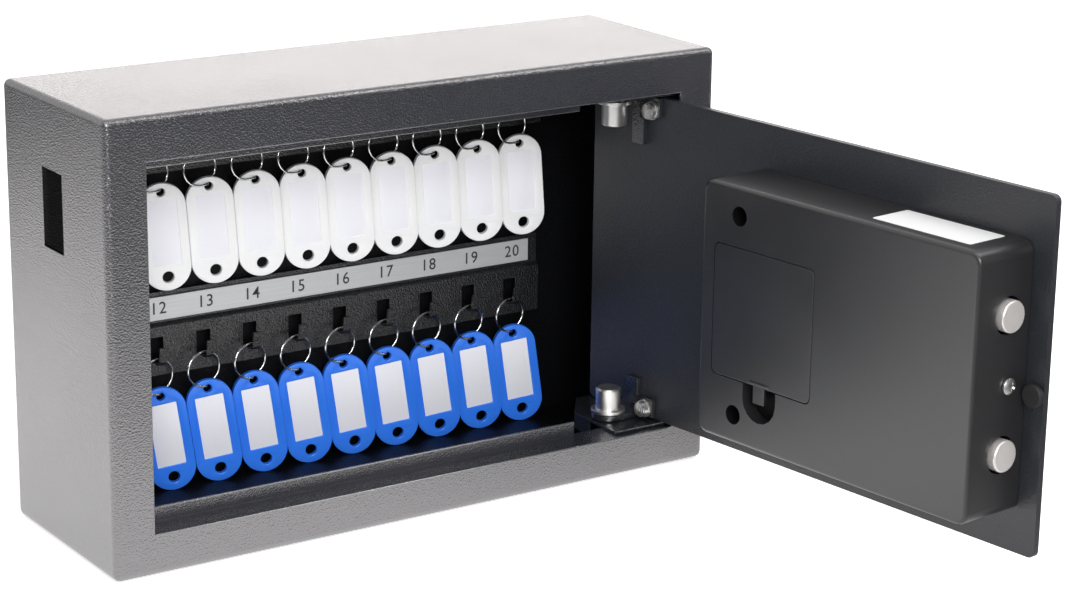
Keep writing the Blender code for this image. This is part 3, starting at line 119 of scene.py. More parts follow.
for lamp_name, lamp_place, lamp_aim, lamp_size, lamp_power, lamp_tint in (
        ("overhead_softbox", (-0.30, -0.45, 1.45), (0, 0, 0.1), 1.1, 8, (1, 1, 1)),
        ("ridge_softbox", (0.72, -0.50, 1.16), (0, 0, 0.05), 0.6, 6, (1, 1, 1)),
        ("front_softbox", (-0.75, -1.95, 0.95), (0, -0.05, 0.1), 1.0, 35, (1, 1, 1)),
        ("right_softbox", (1.55, -0.62, 0.27), (0.1, -0.2, 0.1), 0.5, 2.0, (1.0, 0.96, 0.93)),
        ("back_softbox", (0.95, 1.60, 0.60), (0, 0, 0.15), 1.1, 6.2, (1.0, 0.95, 0.935))):
    softbox = bpy.data.lights.new(lamp_name, "AREA")
    softbox.color = lamp_tint
    softbox.shape = "SQUARE"
    softbox.size = lamp_size
    softbox.energy = lamp_power
    lamp = bpy.data.objects.new(lamp_name, softbox)
    lamp.location = lamp_place
    lamp.rotation_euler = (Vector(lamp_aim) - Vector(lamp_place)).to_track_quat("-Z", "Y").to_euler()
    lamp.visible_camera = False
    bpy.context.scene.collection.objects.link(lamp)

table_span, table_drop = 6, 0.0006
bpy.ops.object.select_all(action="DESELECT")
bpy.ops.mesh.primitive_plane_add(size=table_span, location=(0, 0, -table_drop))
floor = bpy.context.object
floor.name = "studio_floor"
floor_paint = bpy.data.materials.new("studio_floor")
floor_paint.use_nodes = True
nodes, links = floor_paint.node_tree.nodes, floor_paint.node_tree.links
floor_shader = nodes["Principled BSDF"]
floor_shader.inputs["Roughness"].default_value = 0.9
floor_shader.inputs["Emission Color"].default_value = (1, 1, 1, 1)
floor_place = nodes.new("ShaderNodeTexCoord")
floor_mottle = nodes.new("ShaderNodeTexNoise")
floor_mottle.inputs["Scale"].default_value = 3
floor_tone = tone_node(nodes, dark=(0.90, 0.90, 0.90), light=(0.93, 0.93, 0.93))
table_reach = nodes.new("ShaderNodeVectorMath")
table_reach.operation = "DISTANCE"
table_reach.inputs[1].default_value = (-0.18, 0.16, 0)
table_edge = range_node(nodes, low=1.0, high=0.0, start=0.29, end=0.76)
table_edge.interpolation_type = "SMOOTHSTEP"
beyond_table = math_node(nodes, "SUBTRACT")
beyond_table.inputs[0].default_value = 1
floor_rays = nodes.new("ShaderNodeLightPath")
floor_gloss = math_node(nodes, "MAXIMUM")
dim_share = math_node(nodes, "MULTIPLY")
far_floor = nodes.new("ShaderNodeMix")
far_floor.data_type = "RGBA"
far_floor.inputs["B"].default_value = (0.06, 0.06, 0.06, 1)
gloss_glow = math_node(nodes, "MULTIPLY")
seen_glow = math_node(nodes, "MULTIPLY")
far_glow = range_node(nodes, low=0.55, high=1.0, start=0.9, end=2.2)
floor_lift = math_node(nodes, "ADD")
links.new(floor_place.outputs["Object"], floor_mottle.inputs["Vector"])
links.new(floor_mottle.outputs["Fac"], floor_tone.inputs["Factor"])
links.new(floor_place.outputs["Object"], table_reach.inputs[0])
links.new(table_reach.outputs["Value"], table_edge.inputs["Value"])
links.new(table_edge.outputs["Result"], beyond_table.inputs[1])
links.new(floor_rays.outputs["Is Glossy Ray"], floor_gloss.inputs[0])
links.new(floor_rays.outputs["Is Transmission Ray"], floor_gloss.inputs[1])
links.new(beyond_table.outputs["Value"], dim_share.inputs[0])
links.new(floor_gloss.outputs["Value"], dim_share.inputs[1])
links.new(dim_share.outputs["Value"], far_floor.inputs["Factor"])
links.new(floor_tone.outputs["Result"], far_floor.inputs["A"])
links.new(far_floor.outputs["Result"], floor_shader.inputs["Base Color"])
links.new(table_edge.outputs["Result"], gloss_glow.inputs[0])
links.new(floor_gloss.outputs["Value"], gloss_glow.inputs[1])
links.new(table_reach.outputs["Value"], far_glow.inputs["Value"])
links.new(floor_rays.outputs["Is Camera Ray"], seen_glow.inputs[0])
links.new(far_glow.outputs["Result"], seen_glow.inputs[1])
links.new(gloss_glow.outputs["Value"], floor_lift.inputs[0])
links.new(seen_glow.outputs["Value"], floor_lift.inputs[1])
links.new(floor_lift.outputs["Value"], floor_shader.inputs["Emission Strength"])
floor.data.materials.append(floor_paint)


# Cabinet shell: one sheet of 2 mm steel, folded into a box with a frame, sill and header round its opening.
# It wears an anthracite powder coat with a fine orange-peel grain. Its inside faces and slot walls take a
# near-black copy of the coat, which is painted shade, and the rounded folds round the opening shine and also
# take a pale flecked copy of the coat, which is a painted highlight.
# Its long folds and its cut edges are broken before painting.
shortest_fold, fold_angle = 0.05, math.radians(80)
sheet_skin, slot_skin = 0.0015, 0.0005
frame_return = 0.020
rim_height, rim_depth = 0.012, 0.018
smallest_fold_face = 0.00001


def pick(piece):
    """Select one piece alone and make it the active one."""
    bpy.ops.object.select_all(action="DESELECT")
    piece.select_set(True)
    bpy.context.view_layer.objects.active = piece


def rounded_copy(node, name, radius, segments=3, merged=True, fold_radius=0):
    """A solid's own form as a new piece, its flat triangles merged, its folds and sharp edges rounded."""
    piece = bpy.data.objects.new(name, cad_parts[node].data.copy())
    piece.data.name = name
    bpy.context.scene.collection.objects.link(piece)
    pick(piece)
    bpy.ops.object.mode_set(mode="EDIT")
    bpy.ops.mesh.select_all(action="SELECT")
    bpy.ops.mesh.remove_doubles(threshold=0.00001)
    if merged:
        bpy.ops.mesh.dissolve_limited(angle_limit=math.radians(1))
    if fold_radius:
        bpy.ops.mesh.select_mode(type="EDGE")
        bpy.ops.mesh.select_all(action="DESELECT")
        shape = bmesh.from_edit_mesh(piece.data)
        for edge in shape.edges:
            long_fold = edge.calc_length() > shortest_fold and edge.calc_face_angle(0) > fold_angle
            edge.select = long_fold and edge.is_convex
        bmesh.update_edit_mesh(piece.data)
        bpy.ops.mesh.bevel(offset=fold_radius, offset_type="OFFSET", segments=4, affect="EDGES")
    bpy.ops.object.mode_set(mode="OBJECT")
    edges = piece.modifiers.new("edges", "BEVEL")
    edges.width = radius
    edges.segments = segments
    edges.limit_method = "ANGLE"
    edges.angle_limit = math.radians(35)
    edges.use_clamp_overlap = True
    bpy.ops.object.modifier_apply(modifier="edges")
    bpy.ops.object.shade_smooth_by_angle(angle=math.radians(40))
    flats = piece.modifiers.new("flats", "WEIGHTED_NORMAL")
    flats.keep_sharp = True
    bpy.ops.object.modifier_apply(modifier="flats")
    return piece


def finish_piece(piece, body, slot, material, *replaced):
    """Paint a piece, hang it on its body and hide the parts that it stands in for."""
    piece.data.materials.clear()
    piece.data.materials.append(material)
    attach(piece, body)
    if replaced:
        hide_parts(*replaced)


def new_group(name, inputs, outputs):
    """An empty shader node group with its named sockets, and its input and output nodes."""
    group = bpy.data.node_groups.new(name, "ShaderNodeTree")
    for label, kind, value in inputs:
        socket = group.interface.new_socket(name=label, in_out="INPUT", socket_type=kind)
        socket.default_value = value
    for label, kind in outputs:
        group.interface.new_socket(name=label, in_out="OUTPUT", socket_type=kind)
    return group, group.nodes.new("NodeGroupInput"), group.nodes.new("NodeGroupOutput")


coat_grain, grain_in, grain_out = new_group(
    "powder_coat_grain",
    (("Pebble size", "NodeSocketFloat", 0.0009), ("Depth", "NodeSocketFloat", 1.0)),
    (("Height", "NodeSocketFloat"), ("Fleck", "NodeSocketFloat"), ("Cloud", "NodeSocketFloat")))
grain_place = coat_grain.nodes.new("ShaderNodeTexCoord")
pebble_scale = math_node(coat_grain.nodes, "DIVIDE")
pebble_scale.inputs[0].default_value = 1
pebbles = coat_grain.nodes.new("ShaderNodeTexVoronoi")
pebbles.feature = "SMOOTH_F1"
pebbles.inputs["Smoothness"].default_value = 0.6
swell = coat_grain.nodes.new("ShaderNodeTexNoise")
swell.inputs["Detail"].default_value = 3
swell.inputs["Roughness"].default_value = 0.6
pebble_sum = math_node(coat_grain.nodes, "ADD")
pebble_height = math_node(coat_grain.nodes, "MULTIPLY")
fleck_cut = range_node(coat_grain.nodes, low=0.0, high=1.0, start=0.62, end=0.78)
cloud = coat_grain.nodes.new("ShaderNodeTexNoise")
cloud.inputs["Scale"].default_value = 14
cloud.inputs["Detail"].default_value = 2
coat_grain.links.new(grain_in.outputs["Pebble size"], pebble_scale.inputs[1])
for coat_texture in (pebbles, swell):
    coat_grain.links.new(grain_place.outputs["Object"], coat_texture.inputs["Vector"])
    coat_grain.links.new(pebble_scale.outputs["Value"], coat_texture.inputs["Scale"])
coat_grain.links.new(grain_place.outputs["Object"], cloud.inputs["Vector"])
coat_grain.links.new(pebbles.outputs["Distance"], pebble_sum.inputs[0])
coat_grain.links.new(swell.outputs["Fac"], pebble_sum.inputs[1])
coat_grain.links.new(pebble_sum.outputs["Value"], pebble_height.inputs[0])
coat_grain.links.new(grain_in.outputs["Depth"], pebble_height.inputs[1])
coat_grain.links.new(swell.outputs["Fac"], fleck_cut.inputs["Value"])
coat_grain.links.new(pebble_height.outputs["Value"], grain_out.inputs["Height"])
coat_grain.links.new(fleck_cut.outputs["Result"], grain_out.inputs["Fleck"])
coat_grain.links.new(cloud.outputs["Fac"], grain_out.inputs["Cloud"])


def powder_coat(name, dark, light, smooth, rough, pebble, relief, gloss):
    """Thermoset powder paint: a fine pebbled skin whose sheen drifts a little over the sheet."""
    paint = bpy.data.materials.new(name)
    paint.use_nodes = True
    nodes, links = paint.node_tree.nodes, paint.node_tree.links
    shader = nodes["Principled BSDF"]
    shader.inputs["IOR"].default_value = 1.8
    shader.inputs["Specular IOR Level"].default_value = gloss
    shader.inputs["Specular Tint"].default_value = (1.0, 0.965, 0.955, 1)
    grain = nodes.new("ShaderNodeGroup")
    grain.node_tree = coat_grain
    grain.inputs["Pebble size"].default_value = pebble
    tone = tone_node(nodes, dark, light)
    sheen = range_node(nodes, smooth, rough)
    skin = nodes.new("ShaderNodeBump")
    skin.inputs["Strength"].default_value = 1
    skin.inputs["Distance"].default_value = relief
    links.new(grain.outputs["Fleck"], tone.inputs["Factor"])
    links.new(tone.outputs["Result"], shader.inputs["Base Color"])
    links.new(grain.outputs["Cloud"], sheen.inputs["Value"])
    links.new(sheen.outputs["Result"], shader.inputs["Roughness"])
    links.new(grain.outputs["Height"], skin.inputs["Height"])
    links.new(skin.outputs["Normal"], shader.inputs["Normal"])
    return paint


shell_paint = powder_coat("anthracite_powder_coat", dark=(0.017, 0.019, 0.026), light=(0.038, 0.042, 0.053),
                          smooth=0.20, rough=0.30, pebble=0.0008, relief=0.00016, gloss=1.0)
# The inside wears the same coat as the outside; this near-black copy of it is painted shade for the dim
# inside of the cabinet.
inner_shade_paint = powder_coat("inner_painted_shade_coat", dark=(0.003, 0.0033, 0.0042), light=(0.008, 0.0086, 0.011),
                          smooth=0.30, rough=0.42, pebble=0.0008, relief=0.00022, gloss=0.08)
# A pale flecked copy of the coat for the folds by the opening: a painted highlight.
fold_highlight_paint = powder_coat("fold_painted_highlight_coat", dark=(0.09, 0.094, 0.10), light=(0.70, 0.71, 0.73),
                          smooth=0.14, rough=0.22, pebble=0.0010, relief=0.00006, gloss=1.0)
shell = rounded_copy("cabinet_body", "painted_shell", radius=0.0003, fold_radius=0.0005)
finish_piece(shell, "cabinet", "cabinet_body", shell_paint, "cabinet_body")
shell.data.materials.append(inner_shade_paint)
shell.data.materials.append(fold_highlight_paint)
shell_low, shell_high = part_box("cabinet_body")
for face in shell.data.polygons:
    middle = face.center
    walled = shell_low[0] + sheet_skin < middle.x < shell_high[0] - sheet_skin
    floored = shell_low[2] + sheet_skin < middle.z < shell_high[2] - sheet_skin
    in_slot = shell_low[0] + slot_skin < middle.x < shell_low[0] + sheet_skin and abs(face.normal.x) < 0.5
    # Faces inside the box and the walls of the slot take the near-black coat: painted shade.
    if walled and floored and shell_low[1] + frame_return < middle.y < shell_high[1] - sheet_skin:
        face.material_index = 1
    if in_slot and floored and shell_low[1] + sheet_skin < middle.y < shell_high[1] - sheet_skin:
        face.material_index = 1
    # Leaning fold faces by the opening take the pale coat: a painted highlight.
    leaning = abs(face.normal.x) < 0.1 and 0.1 < abs(face.normal.z) < 0.995
    by_opening = (shell_low[2] + rim_height < middle.z < shell_high[2] - rim_height
                  and middle.y < shell_low[1] + rim_depth)
    if leaning and face.area > smallest_fold_face and by_opening:
        face.material_index = 2


# Hook rails: two strips of pressed steel sheet with ten lanced hooks each, fixed to the cabinet's back wall.
# They wear the shell's coat, sprayed a little darker.
rail_paint = powder_coat("rail_powder_coat", dark=(0.009, 0.010, 0.012), light=(0.026, 0.028, 0.034),
                         smooth=0.20, rough=0.30, pebble=0.0008, relief=0.00022, gloss=0.5)
for row in ("upper", "lower"):
    rail = rounded_copy("hook_rail_" + row, row + "_hook_rail", radius=0.00025, segments=2)
    finish_piece(rail, "cabinet", "hook_rails", rail_paint, "hook_rail_" + row)


# Number strips: thin brushed foil on the face of each rail, with a printed number over each hook.
# The upper strip runs from 1 to 10 and the lower one from 11 to 20.
hook_pitch, last_number = 0.024, 0.106
number_height, number_weight = 0.0080, 0.005
ink_film = 0.00006
foil = bpy.data.materials.new("silver_foil")
foil.use_nodes = True
nodes, links = foil.node_tree.nodes, foil.node_tree.links
foil_shader = nodes["Principled BSDF"]
foil_shader.inputs["Metallic"].default_value = 0.35
foil_place = nodes.new("ShaderNodeTexCoord")
foil_run = nodes.new("ShaderNodeMapping")
foil_run.inputs["Scale"].default_value = (40, 40, 2600)
foil_brush = nodes.new("ShaderNodeTexNoise")
foil_brush.inputs["Scale"].default_value = 1
foil_brush.inputs["Detail"].default_value = 3
foil_tone = tone_node(nodes, dark=(0.50, 0.51, 0.52), light=(0.68, 0.69, 0.70))
foil_sheen = range_node(nodes, low=0.32, high=0.5)
links.new(foil_place.outputs["Object"], foil_run.inputs["Vector"])
links.new(foil_run.outputs["Vector"], foil_brush.inputs["Vector"])
links.new(foil_brush.outputs["Fac"], foil_tone.inputs["Factor"])
links.new(foil_brush.outputs["Fac"], foil_sheen.inputs["Value"])
links.new(foil_tone.outputs["Result"], foil_shader.inputs["Base Color"])
links.new(foil_sheen.outputs["Result"], foil_shader.inputs["Roughness"])


def printing_ink(name, dark, light):
    """Screen-printed ink, a little uneven where it dried."""
    ink = bpy.data.materials.new(name)
    ink.use_nodes = True
    nodes, links = ink.node_tree.nodes, ink.node_tree.links
    shader = nodes["Principled BSDF"]
    shader.inputs["Roughness"].default_value = 0.55
    place = nodes.new("ShaderNodeTexCoord")
    blot = nodes.new("ShaderNodeTexNoise")
    blot.inputs["Scale"].default_value = 900
    tone = tone_node(nodes, dark, light)
    links.new(place.outputs["Object"], blot.inputs["Vector"])
    links.new(blot.outputs["Fac"], tone.inputs["Factor"])
    links.new(tone.outputs["Result"], shader.inputs["Base Color"])
    return ink


def printed(name, words, size, place, turn, weight=0.0):
    """Printed characters as a thin closed film, centred on a place and lying in a turned plane."""
    lettering = bpy.data.curves.new(name, "FONT")
    lettering.body = words
    lettering.size = size
    lettering.align_x = "CENTER"
    lettering.align_y = "CENTER"
    lettering.extrude = ink_film / 2
    lettering.offset = size * weight
    lettering.space_character = 1.12
    lettering.resolution_u = 4
    typeset = bpy.data.objects.new(name, lettering)
    bpy.context.scene.collection.objects.link(typeset)
    pick(typeset)
    bpy.ops.object.convert(target="MESH")
    typeset = bpy.context.object
    typeset.data.transform(Matrix.Translation(place) @ turn)
    bpy.ops.object.mode_set(mode="EDIT")
    bpy.ops.mesh.select_all(action="SELECT")
    bpy.ops.mesh.remove_doubles(threshold=0.000002)
    bpy.ops.mesh.normals_make_consistent(inside=False)
    bpy.ops.object.mode_set(mode="OBJECT")
    return typeset


number_places = [last_number - hook_pitch * step for step in range(9, -1, -1)]
strip_ink = printing_ink("strip_ink", dark=(0.020, 0.020, 0.022), light=(0.045, 0.045, 0.050))
facing_front = Matrix.Rotation(math.radians(90), 4, "X")
for row, first_number in (("upper", 1), ("lower", 11)):
    strip = rounded_copy("number_strip_" + row, row + "_number_strip", radius=0.0001, segments=2)
    finish_piece(strip, "cabinet", "number_strips", foil, "number_strip_" + row)
    strip_low, strip_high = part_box("number_strip_" + row)
    strip_level = (strip_low[2] + strip_high[2]) / 2
    for number, number_x in enumerate(number_places, first_number):
        digits = printed("number_" + str(number).zfill(2), str(number), number_height,
                         (number_x, strip_low[1] - ink_film, strip_level), facing_front, number_weight)
        finish_piece(digits, "cabinet", "number_strips", strip_ink)


# Hinges: bent steel brackets on the frame and arms on the door, joined by turned pins with their washers.
# Brackets and arms are powder-coated, a little smoother than the shell, and the pins are zinc-plated.
metal_marks, marks_in, marks_out = new_group(
    "metal_marks",
    (("Streak scale", "NodeSocketFloat", 500.0), ("Blotch scale", "NodeSocketFloat", 90.0)),
    (("Streak", "NodeSocketFloat"), ("Blotch", "NodeSocketFloat")))
marks_place = metal_marks.nodes.new("ShaderNodeTexCoord")
marks_run = metal_marks.nodes.new("ShaderNodeMapping")
marks_run.inputs["Scale"].default_value = (0.15, 0.15, 1.0)
streaks = metal_marks.nodes.new("ShaderNodeTexNoise")
streaks.inputs["Detail"].default_value = 3
blotches = metal_marks.nodes.new("ShaderNodeTexNoise")
blotches.inputs["Detail"].default_value = 4
metal_marks.links.new(marks_place.outputs["Object"], marks_run.inputs["Vector"])
metal_marks.links.new(marks_run.outputs["Vector"], streaks.inputs["Vector"])
metal_marks.links.new(marks_place.outputs["Object"], blotches.inputs["Vector"])
metal_marks.links.new(marks_in.outputs["Streak scale"], streaks.inputs["Scale"])
metal_marks.links.new(marks_in.outputs["Blotch scale"], blotches.inputs["Scale"])
metal_marks.links.new(streaks.outputs["Fac"], marks_out.inputs["Streak"])
metal_marks.links.new(blotches.outputs["Fac"], marks_out.inputs["Blotch"])


def plated_metal(name, dark, light, smooth, rough, streak_scale, metallic=1.0):
    """Plated steel with turning or drawing marks and a faint bloom in the plating."""
    metal = bpy.data.materials.new(name)
    metal.use_nodes = True
    nodes, links = metal.node_tree.nodes, metal.node_tree.links
    shader = nodes["Principled BSDF"]
    shader.inputs["Metallic"].default_value = metallic
    marks = nodes.new("ShaderNodeGroup")
    marks.node_tree = metal_marks
    marks.inputs["Streak scale"].default_value = streak_scale
    tone = tone_node(nodes, dark, light)
    sheen = range_node(nodes, smooth, rough)
    scratch = nodes.new("ShaderNodeBump")
    scratch.inputs["Strength"].default_value = 0.12
    scratch.inputs["Distance"].default_value = 0.00005
    links.new(marks.outputs["Blotch"], tone.inputs["Factor"])
    links.new(tone.outputs["Result"], shader.inputs["Base Color"])
    links.new(marks.outputs["Streak"], sheen.inputs["Value"])
    links.new(sheen.outputs["Result"], shader.inputs["Roughness"])
    links.new(marks.outputs["Streak"], scratch.inputs["Height"])
    links.new(scratch.outputs["Normal"], shader.inputs["Normal"])
    return metal


hinge_paint = powder_coat("hinge_powder_coat", dark=(0.014, 0.016, 0.020), light=(0.032, 0.035, 0.042),
                          smooth=0.12, rough=0.20, pebble=0.0011, relief=0.00008, gloss=0.7)
bright_zinc = plated_metal("bright_zinc", dark=(0.66, 0.65, 0.63), light=(0.84, 0.83, 0.81),
                           smooth=0.28, rough=0.40, streak_scale=700)
for end in ("upper", "lower"):
    bracket = rounded_copy("hinge_bracket_" + end, end + "_hinge_bracket", radius=0.0002, segments=2)
    finish_piece(bracket, "cabinet", "hinge_plates", hinge_paint, "hinge_bracket_" + end)
    pin = rounded_copy("hinge_pin_" + end, end + "_hinge_pin", radius=0.0003)
    finish_piece(pin, "cabinet", "hinge_pins", bright_zinc, "hinge_pin_" + end)
    arm = rounded_copy("hinge_arm_" + end, end + "_hinge_arm", radius=0.0002, segments=2, merged=False)
    finish_piece(arm, "door", "hinge_plates", hinge_paint, "hinge_arm_" + end)


# Stud nuts: zinc-plated cap nuts, run down on the welded studs of the hinge arms.
# Each has a wide flange, a plain barrel and a low dome, drawn in by steps and softened at its edges.
hinge_x, hinge_y, door_angle = 0.115, -0.027, math.radians(96.5)
door_turn = (Matrix.Translation((hinge_x, hinge_y, 0)) @ Matrix.Rotation(door_angle, 4, "Z")
             @ Matrix.Translation((-hinge_x, -hinge_y, 0)))
flange_radius, flange_thickness = 0.0044, 0.0012
nut_profile = ((0.0006, 0.0024), (0.0005, 0.0006), (0.0009, 0.0004), (0.0010, 0.0004))
nut_rounding = 0.00015
nut_x, nut_y = 0.102, -0.03915
for end, nut_z in (("lower", 0.026), ("upper", 0.171)):
    bpy.ops.object.select_all(action="DESELECT")
    bpy.ops.mesh.primitive_cylinder_add(vertices=32, radius=flange_radius, depth=flange_thickness,
                                        location=(0, 0, flange_thickness / 2))
    nut = bpy.context.object
    nut.name = end + "_cap_nut"
    bpy.ops.object.mode_set(mode="EDIT")
    bpy.ops.mesh.select_mode(type="FACE")
    bpy.ops.mesh.select_all(action="DESELECT")
    shape = bmesh.from_edit_mesh(nut.data)
    for face in shape.faces:
        face.select = face.normal.z > 0.9
    bmesh.update_edit_mesh(nut.data)
    for inwards, rise in nut_profile:
        bpy.ops.mesh.inset(thickness=inwards)
        bpy.ops.mesh.extrude_region_move(TRANSFORM_OT_translate={"value": (0, 0, rise)})
    bpy.ops.object.mode_set(mode="OBJECT")
    bpy.ops.object.transform_apply(location=True, rotation=True, scale=True)
    soft = nut.modifiers.new("soft", "BEVEL")
    soft.width = nut_rounding
    soft.segments = 2
    soft.limit_method = "ANGLE"
    soft.angle_limit = math.radians(50)
    bpy.ops.object.modifier_apply(modifier="soft")
    bpy.ops.object.shade_smooth_by_angle(angle=math.radians(40))
    nut.data.transform(door_turn @ Matrix.Translation((nut_x, nut_y, nut_z))
                       @ Matrix.Rotation(math.radians(-90), 4, "X"))
    finish_piece(nut, "door", "hinge_pins", bright_zinc)


# Door leaf: a flat 3 mm steel plate that carries the hinge arms on one side and the lock on both.
# It wears the cabinet's powder coat, smoother and duller than on the shell.
door_paint = powder_coat("door_powder_coat", dark=(0.015, 0.017, 0.022), light=(0.032, 0.036, 0.045),
                         smooth=0.34, rough=0.44, pebble=0.0008, relief=0.00013, gloss=0.36)
leaf = rounded_copy("door_plate", "door_leaf", radius=0.0006)
finish_piece(leaf, "door", "door_plate", door_paint, "door_plate")


# Lock housing: one injection moulding of black plastic with a spark-eroded grain, screwed to the leaf.
# The floor of its finger recess and the insides of its screw wells take a duller, near-black copy of the
# plastic, which is painted shade.
screw_x, screw_levels = 0.0125, {"lower": 0.0524, "upper": 0.1434}
well_radius, housing_face = 0.0048, -0.0097
recess_half_width, recess_drop, recess_rise = 0.0105, 0.017, 0.002
recess_floor_low, recess_floor_high = -0.0172, -0.0150
mould_grain, mould_in, mould_out = new_group(
    "moulded_grain",
    (("Grain scale", "NodeSocketFloat", 2200.0),),
    (("Height", "NodeSocketFloat"), ("Flow", "NodeSocketFloat")))
mould_place = mould_grain.nodes.new("ShaderNodeTexCoord")
sparks = mould_grain.nodes.new("ShaderNodeTexNoise")
sparks.inputs["Detail"].default_value = 2
flow = mould_grain.nodes.new("ShaderNodeTexNoise")
flow.inputs["Scale"].default_value = 25
flow.inputs["Detail"].default_value = 3
mould_grain.links.new(mould_place.outputs["Object"], sparks.inputs["Vector"])
mould_grain.links.new(mould_place.outputs["Object"], flow.inputs["Vector"])
mould_grain.links.new(mould_in.outputs["Grain scale"], sparks.inputs["Scale"])
mould_grain.links.new(sparks.outputs["Fac"], mould_out.inputs["Height"])
mould_grain.links.new(flow.outputs["Fac"], mould_out.inputs["Flow"])


def moulded_plastic(name, dark, light, smooth, rough, bump, scale=2200, gloss=0.5):
    """Moulded plastic with a fine grain and a slow drift of sheen along the melt's flow."""
    plastic = bpy.data.materials.new(name)
    plastic.use_nodes = True
    nodes, links = plastic.node_tree.nodes, plastic.node_tree.links
    shader = nodes["Principled BSDF"]
    shader.inputs["Specular IOR Level"].default_value = gloss
    grain = nodes.new("ShaderNodeGroup")
    grain.node_tree = mould_grain
    grain.inputs["Grain scale"].default_value = scale
    tone = tone_node(nodes, dark, light)
    sheen = range_node(nodes, smooth, rough)
    skin = nodes.new("ShaderNodeBump")
    skin.inputs["Strength"].default_value = bump
    skin.inputs["Distance"].default_value = 0.00004
    links.new(grain.outputs["Flow"], tone.inputs["Factor"])
    links.new(tone.outputs["Result"], shader.inputs["Base Color"])
    links.new(grain.outputs["Flow"], sheen.inputs["Value"])
    links.new(sheen.outputs["Result"], shader.inputs["Roughness"])
    links.new(grain.outputs["Height"], skin.inputs["Height"])
    links.new(skin.outputs["Normal"], shader.inputs["Normal"])
    return plastic


housing_plastic = moulded_plastic("black_housing_plastic", dark=(0.010, 0.010, 0.011),
                                  light=(0.018, 0.018, 0.020), smooth=0.30, rough=0.40, bump=0.35, gloss=0.8)
# A near-black, dull copy of the housing plastic for the recess floor and the screw wells: painted shade.
recess_shade_plastic = moulded_plastic("recess_shade_plastic", dark=(0.003, 0.003, 0.003), light=(0.006, 0.006, 0.007),
                               smooth=0.5, rough=0.6, bump=0.35, gloss=0.1)
housing = rounded_copy("lock_housing", "moulded_housing", radius=0.0005)
finish_piece(housing, "door", "housing", housing_plastic, "lock_housing")
housing.data.materials.append(recess_shade_plastic)
cover_points = [door_turn.inverted() @ corner.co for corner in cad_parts["battery_cover"].data.vertices]
recess_x = (min(point.x for point in cover_points) + max(point.x for point in cover_points)) / 2
recess_top = min(point.z for point in cover_points)
# Faces on the recess floor and inside the screw wells take the near-black plastic: painted shade.
for face in housing.data.polygons:
    middle = door_turn.inverted() @ face.center
    under_cover = (abs(middle.x - recess_x) < recess_half_width
                   and recess_top - recess_drop < middle.z < recess_top + recess_rise)
    if under_cover and recess_floor_low < middle.y < recess_floor_high:
        face.material_index = 1
    for well_z in screw_levels.values():
        beside_well = math.hypot(middle.x - screw_x, middle.z - well_z)
        if beside_well < well_radius and middle.y < housing_face:
            face.material_index = 1


# Paper label: a plain white sticker on top of the lock housing, near the door's free edge.
# It is cut from coated paper with its corners trimmed round, and is a tenth of a millimetre thick.
label_width, label_height, label_thickness = 0.054, 0.022, 0.0001
label_corner = 0.0012
label_place = (-0.086, -0.0265, 0.15652)
bpy.ops.object.select_all(action="DESELECT")
bpy.ops.mesh.primitive_plane_add(size=1, location=(0, 0, 0))
label = bpy.context.object
label.name = "paper_label"
bpy.ops.object.mode_set(mode="EDIT")
bpy.ops.mesh.select_all(action="SELECT")
bpy.ops.transform.resize(value=(label_width, label_height, 1))
bpy.ops.mesh.bevel(offset=label_corner, offset_type="OFFSET", segments=4, affect="VERTICES")
bpy.ops.mesh.select_all(action="SELECT")
bpy.ops.mesh.extrude_region_move(TRANSFORM_OT_translate={"value": (0, 0, label_thickness)})
bpy.ops.mesh.select_all(action="SELECT")
bpy.ops.mesh.normals_make_consistent(inside=False)
bpy.ops.object.mode_set(mode="OBJECT")
label.data.transform(door_turn @ Matrix.Translation(label_place))
label_paper = moulded_plastic("label_paper", dark=(0.80, 0.80, 0.80), light=(0.86, 0.86, 0.86),
                              smooth=0.4, rough=0.5, bump=0.1, scale=900)
finish_piece(label, "door", "housing", label_paper)


# Battery cover and cells: a flush lid of the housing's own plastic, clipped into the bay by its latch tongue,
# and the four foil-wrapped cells that lie behind it.
cover = rounded_copy("battery_cover", "battery_lid", radius=0.00025, segments=2)
finish_piece(cover, "cover", "housing", housing_plastic, "battery_cover")
cell_foil = moulded_plastic("cell_foil", dark=(0.03, 0.03, 0.035), light=(0.06, 0.06, 0.07),
                            smooth=0.2, rough=0.3, bump=0.05)
cells = rounded_copy("batteries", "dry_cells", radius=0.0003, segments=2, merged=False)
finish_piece(cells, "door", "cells", cell_foil, "batteries")


